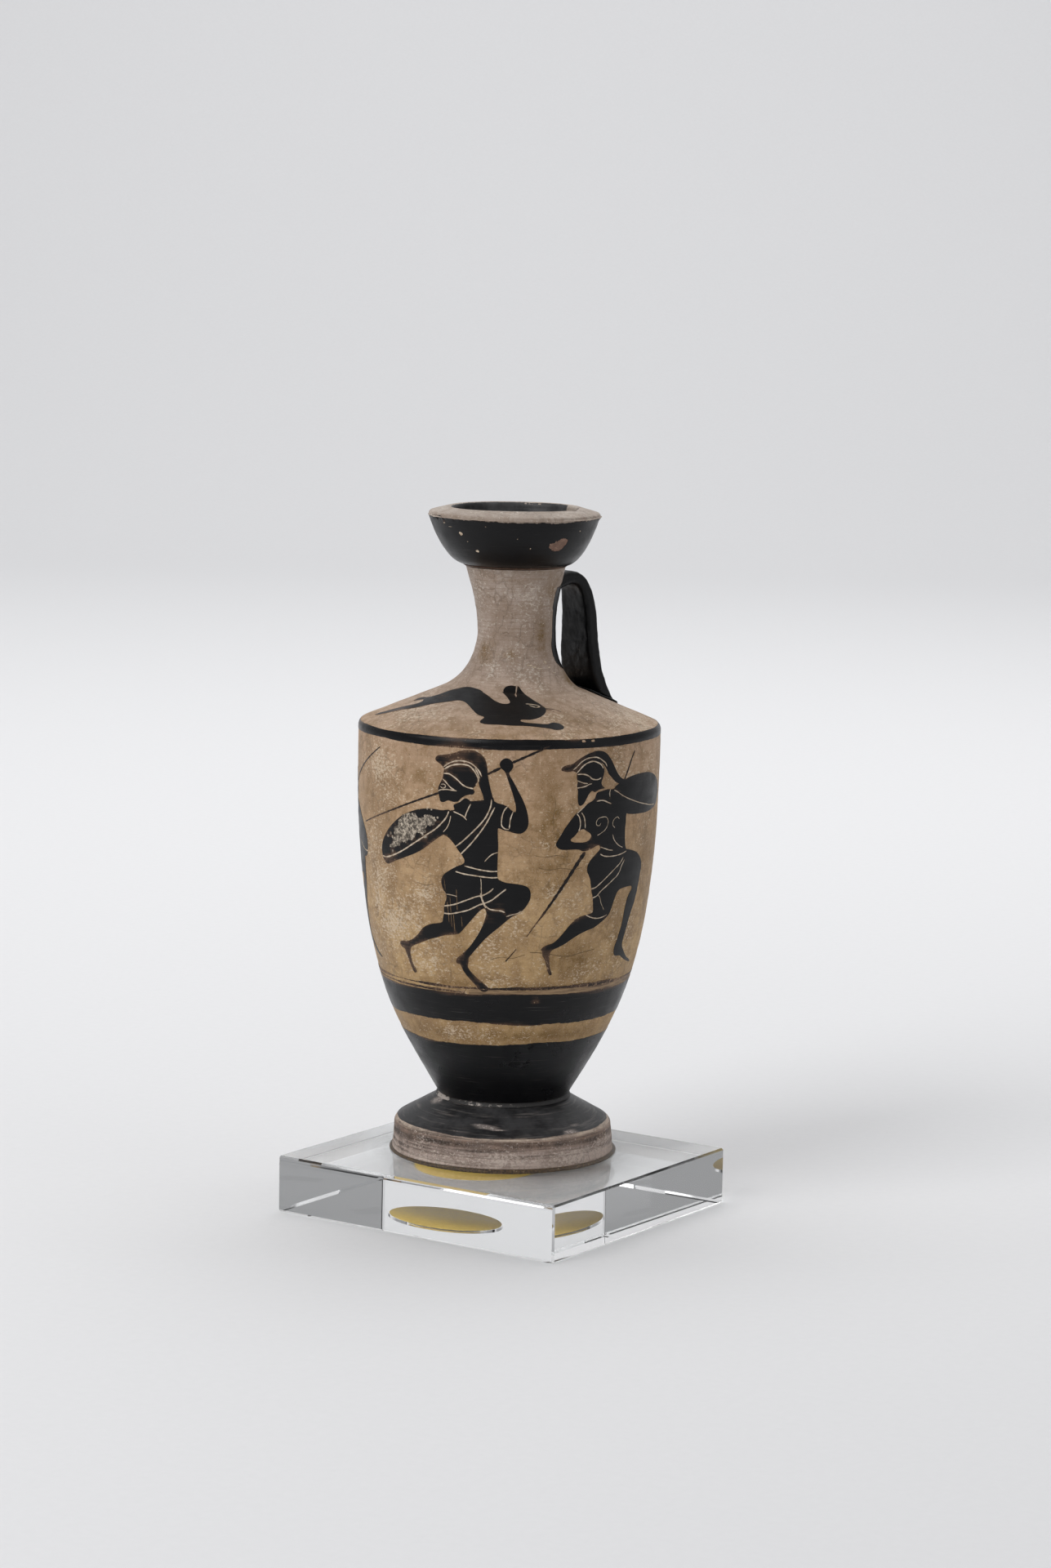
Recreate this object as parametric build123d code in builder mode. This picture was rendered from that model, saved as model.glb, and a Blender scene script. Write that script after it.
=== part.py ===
"""Small shoulder lekythos, luted together from thrown pieces and fixed to a clear plinth.

Millimetres, +Z up. The origin lies on the vessel's axis, at the plinth's underside.
"""

import os
from math import atan2, cos, radians, sin, tan

from build123d import *

# Plinth: a clear block, with a disc let into its underside off its middle
plinth_length = 70.0
plinth_width = 65.0
plinth_thickness = 12.0
plinth_bevel = 0.4
plinth_shift_x = 2.4
plinth_shift_y = -3.1
disc_radius = 13.4
disc_thickness = 0.3
disc_side_gap = 0.15
disc_shift_x = -3.0
disc_shift_y = -5.1

# Vase: its whole height over the plinth, to the lip's crest before rounding
vase_height = 136.85

# Fixing bead between the plinth and the foot's resting ring
bead_thickness = 0.4
bead_squeeze = 0.3

# Foot: a disc with a sloping top, a resting ring and a hollow underside
foot_radius = 23.5
foot_height = 11.6
foot_side_height = 6.4
foot_side_lean = 0.5
foot_edge_round = 1.6
foot_ring_width = 5.5
foot_hollow_depth = 4.5
foot_hollow_slope = 3.0

# Luting slip between the thrown pieces
slip_thickness = 0.4
slip_bulge = 0.7
slip_bore_step = 0.3

# Body: a wall that flares from the foot and turns upright, and a sloping shoulder
body_base_radius = 13.8
body_radius = 31.8
body_flare_angle = 30.0
body_flare_length = 18.8
body_upright_share = 0.66
body_band_height = 3.6
shoulder_rise = 8.2
shoulder_edge_round = 1.6
body_wall = 3.2
body_floor = 4.5
body_throat_step = 0.5

# Neck: a waisted tube with a straight bore
neck_base_radius = 12.0
neck_waist_radius = 8.25
neck_top_radius = 10.5
neck_height = 23.9
neck_waist_height = 10.3
neck_base_angle = 40.0
neck_base_pull = 1.9
neck_waist_pull = 5.3
neck_top_angle = 14.0
neck_bore_radius = 5.0

# Mouth: a thick cup with a sloping lip
mouth_radius = 18.2
mouth_height = 12.35
mouth_lip_drop = 1.4
mouth_lip_width = 5.3
mouth_lip_round = 0.7
mouth_crest_round = 0.9
mouth_underside_pull = 3.4
mouth_side_angle = 16.0
mouth_side_pull = 4.6
mouth_cup_depth = 10.2
mouth_cup_pull = 5.5
mouth_throat_pull = 2.7
mouth_throat_step = 0.5

# Handle: a strap from the neck, just under the mouth, down to the shoulder
handle_azimuth = 74.5
handle_root_width = 7.4
handle_foot_width = 12.0
handle_thickness = 3.2
handle_edge_round = 1.0
handle_root_drop = 1.5
handle_rise_angle = 27.0
handle_root_pull = 5.6
handle_drop = 12.1
handle_lean = 1.5
handle_arch_pull = 12.0
handle_leg_pull = 8.5
handle_leg_run = 3.9
handle_foot_inset = 7.4
handle_foot_angle = 42.0
handle_foot_pull = 4.5
handle_embed = 4.0
handle_slip_margin = 0.8

# Levels, from the surface that the plinth stands on upwards
foot_base = plinth_thickness + bead_thickness
foot_top = foot_base + foot_height
body_base = foot_top + slip_thickness
rim_top = plinth_thickness + vase_height
mouth_base = rim_top - mouth_height
neck_top = mouth_base - slip_thickness
neck_base = neck_top - neck_height
neck_seat = neck_base - slip_thickness
shoulder_edge = neck_seat - shoulder_rise

shoulder_run = body_radius - neck_base_radius
shoulder_angle = atan2(shoulder_rise, shoulder_run)
handle_foot_reach = body_radius - handle_foot_inset
handle_reach = handle_foot_reach - handle_leg_run
axis_plane = Plane.XZ
handle_side = Plane.XZ.rotated((0, 0, handle_azimuth))
handle_front = Plane.YZ.rotated((0, 0, handle_azimuth))
handle_plan = Plane.XY.rotated((0, 0, handle_azimuth))


def aim(start, angle, length):
    """A point at a length from start, at an angle in degrees from upright, outwards."""
    return (start[0] + length * sin(radians(angle)), start[1] + length * cos(radians(angle)))


def inset(points, distance):
    """The legs of an outline's control points moved to their right, and met again."""
    legs = list(zip(points, points[1:]))
    moved = []
    for (x0, z0), (x1, z1) in legs:
        turn = atan2(z1 - z0, x1 - x0)
        shift_x = distance * sin(turn)
        shift_z = -distance * cos(turn)
        moved.append(((x0 + shift_x, z0 + shift_z), (x1 + shift_x, z1 + shift_z), turn))
    result = [moved[0][0]]
    for (_, end, turn), (_, _, next_turn) in zip(moved, moved[1:]):
        stretch = distance * tan((next_turn - turn) / 2)
        result.append((end[0] + stretch * cos(turn), end[1] + stretch * sin(turn)))
    result.append(moved[-1][1])
    return result


def neck_outline(grow):
    """The neck's side, from its base to its top, with its radius grown by a thickness."""
    base = (neck_base_radius + grow, neck_base)
    waist = (neck_waist_radius + grow, neck_base + neck_waist_height)
    top = (neck_top_radius + grow, neck_top)
    waist_low = (waist[0], waist[1] - neck_waist_pull)
    waist_high = (waist[0], waist[1] + neck_waist_pull)
    flare = aim(base, neck_base_angle - 90, neck_base_pull)
    lift = aim(top, neck_top_angle + 180, neck_waist_pull)
    Bezier(base, flare, waist_low, waist)
    Bezier(waist, waist_high, lift, top)
    return base, top


def full_neck(grow):
    """The neck without its bore, with its radius grown by a thickness."""
    with BuildPart() as solid:
        with BuildSketch(axis_plane):
            with BuildLine():
                low, high = neck_outline(grow)
                Polyline(high, (0, neck_top), (0, neck_base), low)
            make_face()
        revolve(axis=Axis.Z)
    return solid.part


def full_shoulder(lift):
    """The body as a full block under its shoulder, with the slope lifted by a thickness."""
    with BuildPart() as solid:
        with BuildSketch(axis_plane):
            with BuildLine():
                Polyline(
                    (0, body_base),
                    (body_radius, body_base),
                    (body_radius, shoulder_edge + lift),
                    (neck_base_radius, neck_seat + lift),
                    (0, neck_seat + lift),
                    close=True,
                )
            make_face()
        revolve(axis=Axis.Z)
    return solid.part


def shoulder_height(radius):
    """The height of the shoulder's slope at a radius."""
    return neck_seat - (radius - neck_base_radius) * tan(shoulder_angle)


# Plinth
disc_seat = Plane(origin=(plinth_shift_x + disc_shift_x, plinth_shift_y + disc_shift_y, 0))

with BuildPart() as plinth:
    with Locations((plinth_shift_x, plinth_shift_y, 0)):
        Box(plinth_length, plinth_width, plinth_thickness, align=(Align.CENTER, Align.CENTER, Align.MIN))
    chamfer(plinth.edges(), plinth_bevel)
    with BuildSketch(disc_seat):
        Circle(disc_radius + disc_side_gap)
    extrude(amount=disc_thickness, mode=Mode.SUBTRACT)

# Disc let into the plinth's underside
with BuildPart() as underside_disc:
    with BuildSketch(disc_seat):
        Circle(disc_radius)
    extrude(amount=disc_thickness)

# Fixing bead under the foot's resting ring, squeezed out a little at its edge
with BuildPart() as fixing_bead:
    with BuildSketch(Plane.XY.offset(plinth_thickness)):
        Circle(foot_radius + bead_squeeze)
        Circle(foot_radius - foot_ring_width, mode=Mode.SUBTRACT)
    extrude(amount=bead_thickness)
    chamfer(fixing_bead.edges().group_by(Axis.Z)[-1].sort_by(SortBy.RADIUS)[-1], bead_squeeze)

# Foot
with BuildPart() as foot:
    with BuildSketch(axis_plane) as foot_profile:
        with BuildLine():
            Polyline(
                (0, foot_base + foot_hollow_depth),
                (foot_radius - foot_ring_width - foot_hollow_slope, foot_base + foot_hollow_depth),
                (foot_radius - foot_ring_width, foot_base),
                (foot_radius, foot_base),
                (foot_radius - foot_side_lean, foot_base + foot_side_height),
                (body_base_radius, foot_top),
                (0, foot_top),
                close=True,
            )
        make_face()
        side_corner = foot_profile.vertices().group_by(Axis.X)[-2]
        fillet(side_corner, foot_edge_round)
    revolve(axis=Axis.Z)

# Body, with its shoulder, open at the throat under the neck
with BuildPart() as body:
    wall_base = (body_base_radius, body_base)
    wall_top = (body_radius, shoulder_edge - body_band_height)
    wall_flare = aim(wall_base, body_flare_angle, body_flare_length)
    wall_upright = (body_radius, wall_top[1] - body_upright_share * (wall_top[1] - body_base))
    throat_radius = neck_bore_radius + body_throat_step
    with BuildSketch(axis_plane) as body_profile:
        with BuildLine():
            Line((0, body_base), wall_base)
            Bezier(wall_base, wall_flare, wall_upright, wall_top)
            Polyline(
                wall_top,
                (body_radius, shoulder_edge),
                (neck_base_radius, neck_seat),
                (0, neck_seat),
                (0, body_base),
            )
        make_face()
        fillet(body_profile.vertices().sort_by(Axis.X)[-2:].sort_by(Axis.Y)[-1], shoulder_edge_round)
    revolve(axis=Axis.Z)

    slant = 1 / cos(radians(body_flare_angle))
    floor_edge = aim(wall_base, body_flare_angle, body_floor * slant)
    hollow_base = (floor_edge[0] - body_wall * slant, body_base + body_floor)
    hollow_flare = aim(hollow_base, body_flare_angle, body_flare_length - body_floor * slant)
    hollow_radius = body_radius - body_wall
    hollow_top = (hollow_radius, shoulder_height(hollow_radius) - body_wall / cos(shoulder_angle))
    hollow_upright = (hollow_radius, wall_upright[1])
    throat_base = (throat_radius, neck_seat - body_wall)
    with BuildSketch(axis_plane):
        with BuildLine():
            Line((0, hollow_base[1]), hollow_base)
            Bezier(hollow_base, hollow_flare, hollow_upright, hollow_top)
            Polyline(
                hollow_top,
                throat_base,
                (throat_radius, neck_seat),
                (0, neck_seat),
                (0, hollow_base[1]),
            )
        make_face()
    revolve(axis=Axis.Z, mode=Mode.SUBTRACT)

# Slip between foot and body, pressed out into a low fillet all round
with BuildPart() as foot_slip:
    with BuildSketch(axis_plane):
        with BuildLine():
            foot_top_slope = (foot_top - foot_base - foot_side_height) / (
                foot_radius - foot_side_lean - body_base_radius
            )
            ring_low = (body_base_radius + slip_bulge, foot_top - slip_bulge * foot_top_slope)
            ring_high = aim(wall_base, body_flare_angle, slip_bulge)
            Polyline(
                (0, body_base),
                (0, foot_top),
                (body_base_radius, foot_top),
                ring_low,
                ring_high,
                wall_base,
                close=True,
            )
        make_face()
    revolve(axis=Axis.Z)
    add(body.part, mode=Mode.SUBTRACT)

# Slip between shoulder and neck
with BuildPart() as neck_slip:
    with BuildSketch(Plane.XY.offset(neck_seat)):
        Circle(neck_base_radius)
        Circle(neck_bore_radius + slip_bore_step, mode=Mode.SUBTRACT)
    extrude(amount=slip_thickness)

# Neck
with BuildPart() as neck:
    with BuildSketch(axis_plane):
        with BuildLine():
            neck_low, neck_high = neck_outline(0)
            Polyline(
                neck_high,
                (neck_bore_radius, neck_top),
                (neck_bore_radius, neck_base),
                neck_low,
            )
        make_face()
    revolve(axis=Axis.Z)

# Slip between neck and mouth
with BuildPart() as mouth_slip:
    with BuildSketch(Plane.XY.offset(neck_top)):
        Circle(neck_top_radius)
        Circle(neck_bore_radius + slip_bore_step, mode=Mode.SUBTRACT)
    extrude(amount=slip_thickness)

# Mouth
with BuildPart() as mouth:
    lip_edge = (mouth_radius, rim_top - mouth_lip_drop)
    lip_crest = (mouth_radius - mouth_lip_width, rim_top)
    side_start = (neck_top_radius, mouth_base)
    side_low = (neck_top_radius + mouth_underside_pull, mouth_base)
    side_high = aim(lip_edge, mouth_side_angle + 180, mouth_side_pull)
    throat = (neck_bore_radius + mouth_throat_step, rim_top - mouth_cup_depth)
    cup_wall = (lip_crest[0], rim_top - mouth_cup_pull)
    cup_floor = (throat[0] + mouth_throat_pull, throat[1])
    with BuildSketch(axis_plane) as mouth_profile:
        with BuildLine():
            Bezier(side_start, side_low, side_high, lip_edge)
            Line(lip_edge, lip_crest)
            Bezier(lip_crest, cup_wall, cup_floor, throat)
            Polyline(throat, (throat[0], mouth_base), side_start)
        make_face()
        fillet(mouth_profile.vertices().sort_by(Axis.X)[-1], mouth_lip_round)
        fillet(mouth_profile.vertices().sort_by(Axis.Y)[-1], mouth_crest_round)
    revolve(axis=Axis.Z)

# The neck and the shoulder as full solids, bare and coated with slip, to seat the handle
bare_neck = full_neck(0)
coated_neck = full_neck(slip_thickness)
bare_shoulder = full_shoulder(0)
coated_shoulder = full_shoulder(slip_thickness)

# Handle: the strap's side outline, cut to a width that spreads towards its foot
with BuildPart() as handle:
    root_top = neck_top - handle_root_drop
    root = (neck_top_radius, root_top)
    bend = (handle_reach, root_top - handle_drop)
    shoulder_meet = (handle_foot_reach, shoulder_height(handle_foot_reach))
    outer_arch = [
        aim(root, 270 - handle_rise_angle, handle_embed),
        aim(root, 90 - handle_rise_angle, handle_root_pull),
        aim(bend, -handle_lean, handle_arch_pull),
        bend,
    ]
    outer_leg = [
        bend,
        aim(bend, 180 - handle_lean, handle_leg_pull),
        aim(shoulder_meet, -handle_foot_angle, handle_foot_pull),
        aim(shoulder_meet, 180 - handle_foot_angle, handle_embed),
    ]
    inner_arch = inset(outer_arch, handle_thickness)
    inner_leg = inset(outer_leg, handle_thickness)
    with BuildSketch(handle_side):
        with BuildLine():
            Bezier(*outer_arch)
            Bezier(*outer_leg)
            Line(outer_leg[-1], inner_leg[-1])
            Bezier(*inner_leg)
            Bezier(*inner_arch)
            Line(inner_arch[0], outer_arch[0])
        make_face()
    extrude(amount=handle_foot_width / 2, both=True)

    half_root = handle_root_width / 2
    half_foot = handle_foot_width / 2
    with BuildSketch(handle_front):
        with BuildLine():
            Polyline(
                (-half_root, rim_top),
                (half_root, rim_top),
                (half_root, root_top),
                (half_foot, shoulder_meet[1]),
                (half_foot, body_base),
                (-half_foot, body_base),
                (-half_foot, shoulder_meet[1]),
                (-half_root, root_top),
                close=True,
            )
        make_face()
    extrude(amount=body_radius + handle_embed, mode=Mode.INTERSECT)
    fillet(handle.edges().filter_by(GeomType.LINE, reverse=True), handle_edge_round)
    add(coated_neck, mode=Mode.SUBTRACT)
    add(coated_shoulder, mode=Mode.SUBTRACT)

# Slip pad of the handle's upper root, wrapped round the neck
with BuildPart() as handle_upper_slip:
    add(coated_neck)
    add(bare_neck, mode=Mode.SUBTRACT)
    root_height = handle_thickness / cos(radians(handle_rise_angle))
    with BuildSketch(handle_front):
        with Locations((0, root_top - root_height / 2)):
            RectangleRounded(
                handle_root_width + 2 * handle_slip_margin,
                root_height + 2 * handle_slip_margin,
                handle_edge_round + handle_slip_margin,
            )
    extrude(amount=body_radius, mode=Mode.INTERSECT)

# Slip pad of the handle's foot, on the shoulder
with BuildPart() as handle_lower_slip:
    add(coated_shoulder)
    add(bare_shoulder, mode=Mode.SUBTRACT)
    meet_angle = radians(90 - handle_foot_angle) - shoulder_angle
    footprint = handle_thickness / sin(meet_angle) * cos(shoulder_angle)
    with BuildSketch(handle_plan.offset(shoulder_edge + slip_thickness)):
        with Locations((handle_foot_reach - footprint / 2, 0)):
            RectangleRounded(
                footprint + 2 * handle_slip_margin,
                handle_foot_width + 2 * handle_slip_margin,
                handle_edge_round + handle_slip_margin,
            )
    extrude(amount=shoulder_rise, mode=Mode.INTERSECT)

os.makedirs("parts", exist_ok=True)
pieces = {
    "plinth": plinth,
    "underside_disc": underside_disc,
    "fixing_bead": fixing_bead,
    "foot": foot,
    "foot_slip": foot_slip,
    "body": body,
    "neck_slip": neck_slip,
    "neck": neck,
    "mouth_slip": mouth_slip,
    "mouth": mouth,
    "handle": handle,
    "handle_upper_slip": handle_upper_slip,
    "handle_lower_slip": handle_lower_slip,
}
for name, piece in pieces.items():
    piece.part.label = name
    export_step(piece.part, f"parts/{name}.step")
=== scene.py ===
"""Looks of the small shoulder lekythos on its clear plinth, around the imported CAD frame.

Lengths are in millimetres until a mesh is made. A painted outline on the wall is a list of
(way round to the right of the front at the widest radius, height). On the shoulder it is a list
of (way to the right of the axis, way towards the front), seen from above.
"""

import math
import random

import bmesh
import bpy
import numpy as np
from mathutils import Matrix, Vector, noise
from mathutils.geometry import delaunay_2d_cdt
from mathutils.kdtree import KDTree


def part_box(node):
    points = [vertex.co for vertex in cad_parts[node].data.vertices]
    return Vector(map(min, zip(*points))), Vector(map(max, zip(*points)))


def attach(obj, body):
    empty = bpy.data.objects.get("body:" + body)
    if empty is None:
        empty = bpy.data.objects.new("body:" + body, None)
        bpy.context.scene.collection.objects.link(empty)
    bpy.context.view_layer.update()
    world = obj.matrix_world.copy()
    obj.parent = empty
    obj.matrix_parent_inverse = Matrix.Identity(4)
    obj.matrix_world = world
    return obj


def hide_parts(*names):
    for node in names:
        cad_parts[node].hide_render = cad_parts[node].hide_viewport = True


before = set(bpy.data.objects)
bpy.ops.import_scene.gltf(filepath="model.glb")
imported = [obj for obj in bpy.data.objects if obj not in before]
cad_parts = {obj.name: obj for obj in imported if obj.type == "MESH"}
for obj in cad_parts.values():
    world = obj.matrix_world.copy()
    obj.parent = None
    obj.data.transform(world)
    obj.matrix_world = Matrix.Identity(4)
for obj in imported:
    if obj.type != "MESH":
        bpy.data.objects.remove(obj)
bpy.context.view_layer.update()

MM = 0.001
FRONT = math.radians(-55.48)
BODY_RADIUS = 31.8
MOUTH_RADIUS = 16
NECK_RADIUS = 10
FLARE_RADIUS = 15.0
HALF_TURN = math.pi * BODY_RADIUS
BACK_SHIFT = -76.5
CREASE = math.radians(40)
SKIN_INSET = 0.1
GLOSS_LIFT = 0.05
NEEDLE_LIFT = 0.015
CHIP_LIFT = 0.012
COAT_SINK = -0.03
RIM_WIDTH = 0.3
NEEDLE_SHARE = 0.8
TAPER = 0.5
EDGE_STEP = 0.4
FLOOR_GAP = 0.05
EVEN = (1, 1, 1)


def pairs(*values):
    """Points from a flat run of numbers."""
    return list(zip(values[::2], values[1::2]))


def line(width, *values):
    """A stroke: its width, or its width at each end, and its points."""
    return width, pairs(*values)


# Painted hoplite at the left of the view, running right and looking back
HOPLITE_A = {
    "crest": pairs(
        -15.6, 98.9, -15.2, 99.7, -13.8, 100, -11.8, 100.4, -10.2, 101, -8.6, 101.3, -7, 101.2,
        -5.6, 100.5, -4.8, 99.5, -4.4, 98, -4.2, 96.2, -3.8, 94.2, -3.3, 92.3, -2.9, 90.9, -4.7, 90.7,
        -5.2, 92.2, -6, 94.2, -6.4, 95.6, -7.2, 97.4, -8.6, 98.3, -10.5, 98.5, -12.3, 98, -13.4, 97.2,
        -14.2, 97.9
    ),
    "head": pairs(
        -13.4, 97.3, -13.7, 96.2, -13.9, 95.2, -14.4, 94.2, -14.8, 93.3, -14.85, 92.5, -14.6, 91.4,
        -14.3, 90.4, -13.6, 90.3, -12.6, 90.7, -11.4, 90.5, -10.5, 90.6, -9.8, 91.3, -8.9, 91.9,
        -8, 92.2, -7.2, 92.3, -6.9, 92.9, -7.3, 93.4, -6.7, 94.1, -6.2, 95.3, -6.5, 96.7, -7.5, 98,
        -9.3, 98.6, -11.3, 98.4
    ),
    "torso": pairs(
        -11.4, 89.8, -10.4, 90.4, -9.5, 91.1, -8.8, 91.4, -8.2, 91.2, -7.8, 90.9, -6.5, 91, -4.8, 91.2,
        -3.2, 91.2, -2.2, 90.7, -1, 90.4, 0, 89.9, 0.8, 89.2, 1.5, 88.9, 1.6, 90, 1.3, 91.2, 0.9, 92.6,
        0.4, 94, -0.1, 95.4, -0.6, 96.8, -0.9, 97.3, -1.6, 97.9, -1.85, 98.7, -1.4, 99.5, -0.6, 99.9,
        0.2, 99.7, 0.8, 99, 0.9, 98.1, 0.5, 97.4, 0.1, 96.9, 0.6, 95.8, 1.3, 94.6, 2.1, 93.1, 2.8, 91.8,
        3.4, 90.5, 3.9, 89, 4.2, 87.5, 4.2, 86.2, 3.7, 85.1, 2.8, 84.5, 1.6, 84.5, 0.3, 84.9, -1, 85.2,
        -1.9, 85.5, -2, 84, -1.9, 82, -1.95, 80, -2, 78, -2, 76.2, -2.1, 74.9, -6, 74.8, -10, 75.6,
        -11.2, 76.8, -9.7, 77.6, -9.1, 78, -9, 78.6, -9.5, 79.5, -10.3, 80.5, -11, 81.5, -11.9, 82.5,
        -12.9, 83.3, -13.7, 83.7, -13, 85.2, -12.3, 87, -12.2, 88.6, -11.2, 88.9
    ),
    "legs": pairs(
        -2.1, 75.3, -1.6, 74.8, -0.4, 74.3, 1, 74.1, 2.6, 73.9, 3.9, 73.6, 4.7, 73.1, 5.1, 72.2, 5.1, 71,
        4.6, 69.8, 3.7, 68.6, 2.7, 67.8, 1.3, 67.1, 0, 66.1, -1.4, 64.9, -2.9, 63.7, -4.2, 62.6,
        -5.4, 61.4, -6.5, 60.2, -7.6, 59, -8.5, 57.9, -8.6, 57.1, -8.8, 56.1, -8.3, 55.2, -7.5, 54.4,
        -6.6, 53.6, -5.6, 52.9, -4.7, 52.2, -4, 51.5, -4.3, 50.9, -5.4, 50.7, -6.3, 51.2, -6.9, 51.8,
        -7.7, 52.6, -8.5, 53.4, -9.3, 54.2, -9.9, 55, -10.3, 55.8, -10.7, 56.5, -11.4, 56.6, -11.6, 57.1,
        -11.2, 57.8, -10.3, 58.5, -9.1, 59.5, -8, 60.6, -7, 61.9, -6, 63.4, -5.2, 64.9, -4.6, 66.5,
        -4.3, 67.8, -4.7, 68.7, -5.4, 68.4, -6.1, 67.8, -7, 66.8, -8, 65.7, -9, 64.6, -9.9, 63.6,
        -10.6, 63, -12, 62.7, -14, 62.4, -16, 61.8, -18, 61.2, -19.8, 60.5, -21.6, 59.8, -23.1, 59.2,
        -23.9, 58.6, -24.2, 57.6, -24.2, 56.5, -24, 55.4, -23.5, 54.5, -23.1, 53.7, -23.8, 53.3,
        -24.4, 53.9, -24.8, 55, -25.2, 56.2, -25.6, 57.3, -26, 58.3, -26.8, 58.5, -27.3, 59, -27.2, 59.6,
        -26.2, 59.9, -24.8, 60, -23.4, 60.5, -22, 61.3, -20.8, 62.3, -19.8, 63.3, -18.5, 64.1, -17, 64.6,
        -15.5, 64.9, -14.5, 65.2, -14.2, 66.2, -13.9, 67.3, -13.9, 68.2, -13.6, 69.3, -13.2, 70.4,
        -13.3, 71.3, -13.9, 72.1, -14.2, 73, -14.3, 74.1, -13.9, 75, -13.2, 75.7, -12.1, 76.4, -11, 77,
        -9.6, 77.5, -6, 76.5
    ),
    "shield": pairs(
        -12.2, 88.7, -14, 88.6, -16, 88.7, -18, 88.6, -20, 88.2, -22, 87.5, -24, 86.6, -26, 85.3,
        -28, 83.7, -29.5, 82.2, -30.6, 80.7, -31.2, 79.2, -31.2, 77.9, -30.9, 76.9, -30.2, 76.2,
        -29.4, 75.8, -28.2, 76.1, -26.5, 76.8, -24.8, 77.4, -23, 78.1, -21, 78.9, -19, 79.9, -17.5, 80.9,
        -16, 82, -14.6, 83, -13.5, 83.7, -12.6, 85.2, -12, 87
    ),
}
LINES_A = {
    "head": [
        line(0.32, -13.7, 97.5, -12.6, 98.3, -11, 98.9, -9.5, 99, -8, 98.7, -6.8, 97.9, -6, 97, -5.5, 96),
        line(0.36, -13.5, 97.1, -12.3, 97.8, -11, 98.2, -9.5, 98.3, -8.2, 98.1, -7.2, 97.3, -6.6, 96.4,
             -6.2, 95.6, -6.2, 94.9, -6.7, 94.2),
        line(0.32, -13.7, 96.2, -12.5, 96.2, -11.5, 95.7, -10.5, 95, -9.6, 94.2, -8.6, 93.7, -7.6, 93.5,
             -6.9, 93.4),
        line(0.28, -13.9, 95.1, -13.2, 94.5, -12.5, 93.8, -11.9, 93.3, -11.2, 93),
        line(0.3, -14.9, 92.5, -14.2, 92.8, -13, 92.95, -12, 92.9, -10.7, 92.8),
        line(0.22, -14.4, 93.5, -13.9, 93.2, -13.3, 93.35, -13.2, 93.7, -13.6, 94, -14.2, 93.9),
        line(0.3, -11.6, 90.3, -10.2, 90.6, -9.5, 91.2, -8.9, 91.5, -8, 91.7),
        line(0.3, -6.9, 97.7, -6.3, 96.6, -5.9, 95.6),
    ],
    "torso": [
        line(0.34, -3.4, 91.4, -3.5, 90.2, -3.9, 89, -4.6, 87.6, -5.5, 86.4, -6.6, 85.2, -8, 83.8,
             -9.5, 82.4, -11.2, 81.1),
        line(0.34, -2.7, 89.8, -3.3, 88.6, -4.2, 86.8, -5.2, 85.2, -6.3, 83.7, -7.5, 82.2, -8.8, 80.8,
             -10, 79.6),
        line(0.3, -7.7, 90.3, -8.2, 89.3, -8.7, 88.1, -8.9, 87.4),
        line(0.32, -11.4, 88.5, -10.2, 88.1, -9.2, 87.6, -8.5, 86.9),
        line(0.3, -0.1, 90, -0.7, 89.3, -1.1, 88.3, -1.3, 87, -1.2, 86, -0.5, 85.4, 0.3, 85.3),
        line(0.28, 0.3, 85.4, 0.4, 86.3, 0.5, 87.3, 0.8, 88.3, 1.1, 89.1),
        line(0.26, -4.7, 78.5, -4, 79.3, -3.2, 80, -2.3, 80.4, -1.8, 80.5),
        line(0.34, -9, 77.4, -7.5, 77.1, -6, 76.8, -4.5, 76.6, -3, 76.5, -1.9, 76.6),
        line(0.34, -11, 76.1, -9, 75.7, -7, 75.5, -5, 75.3, -3, 75.2, -1.8, 75.3),
    ],
    "legs": [
        line(0.34, -14.1, 68.6, -12.5, 68.9, -11, 69.3, -9.5, 69.9, -8, 70.5, -6.5, 71.1, -5.2, 71.4,
             -4.3, 71.8, -3.4, 72.4, -2.8, 73),
        line(0.34, -14.1, 67.1, -12.5, 67.1, -11, 67.4, -9.5, 67.8, -8.2, 68.2, -7, 68.8, -5.8, 69.4,
             -4.4, 69.9, -3, 70.6, -2, 71.4, -1, 72.2, -0.1, 72.9),
        line(0.22, -13.3, 71.2, -12, 71.1, -10.8, 70.9),
        line(0.2, -5.5, 75, -5.4, 73.8, -5.4, 72.6, -5.3, 71.6),
        line(0.34, -4.6, 69.3, -3.6, 68.6, -2.4, 68.4, -1.2, 68.3, -0.3, 68),
        line(0.24, 0, 67.1, 1.2, 67.5, 2.4, 67.8, 3.3, 68.3),
        line(0.5, -5.5, 71.9, -5.3, 70.8, -4.9, 69.8, -4.4, 68.8),
    ],
    "shield": [
        line(0.36, -31.2, 77.2, -29.5, 77.2, -27.5, 77.8, -25.5, 78.6, -23.5, 79.6, -21.5, 80.8,
             -19.5, 82, -17.5, 83.3, -15.5, 84.6, -14, 86, -13, 87.2, -12.4, 88.5),
        line(0.24, -12, 87.6, -12.3, 86.2, -12.9, 85, -13.7, 84.1),
    ],
}
SHIELD_FLAKE = pairs(
    -22.5, 87.1, -20.6, 87.3, -19.9, 86.7, -18.8, 86.5, -18, 87.2, -16.6, 87.3, -15.5, 86.9, -15.5, 86,
    -16.2, 85.3, -17, 85.2, -17.7, 84.5, -18.2, 83.7, -19, 83.2, -20, 83.5, -20.5, 82.8, -21.3, 81.9,
    -22.8, 81.4, -24, 81.1, -24.7, 80.5, -25.8, 79.8, -27.2, 79.6, -28, 79.9, -27.2, 80.8, -26.9, 81.8,
    -26.5, 82.8, -26.6, 83.7, -25.6, 84.2, -24.9, 85.3, -24, 86.4
)

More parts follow.
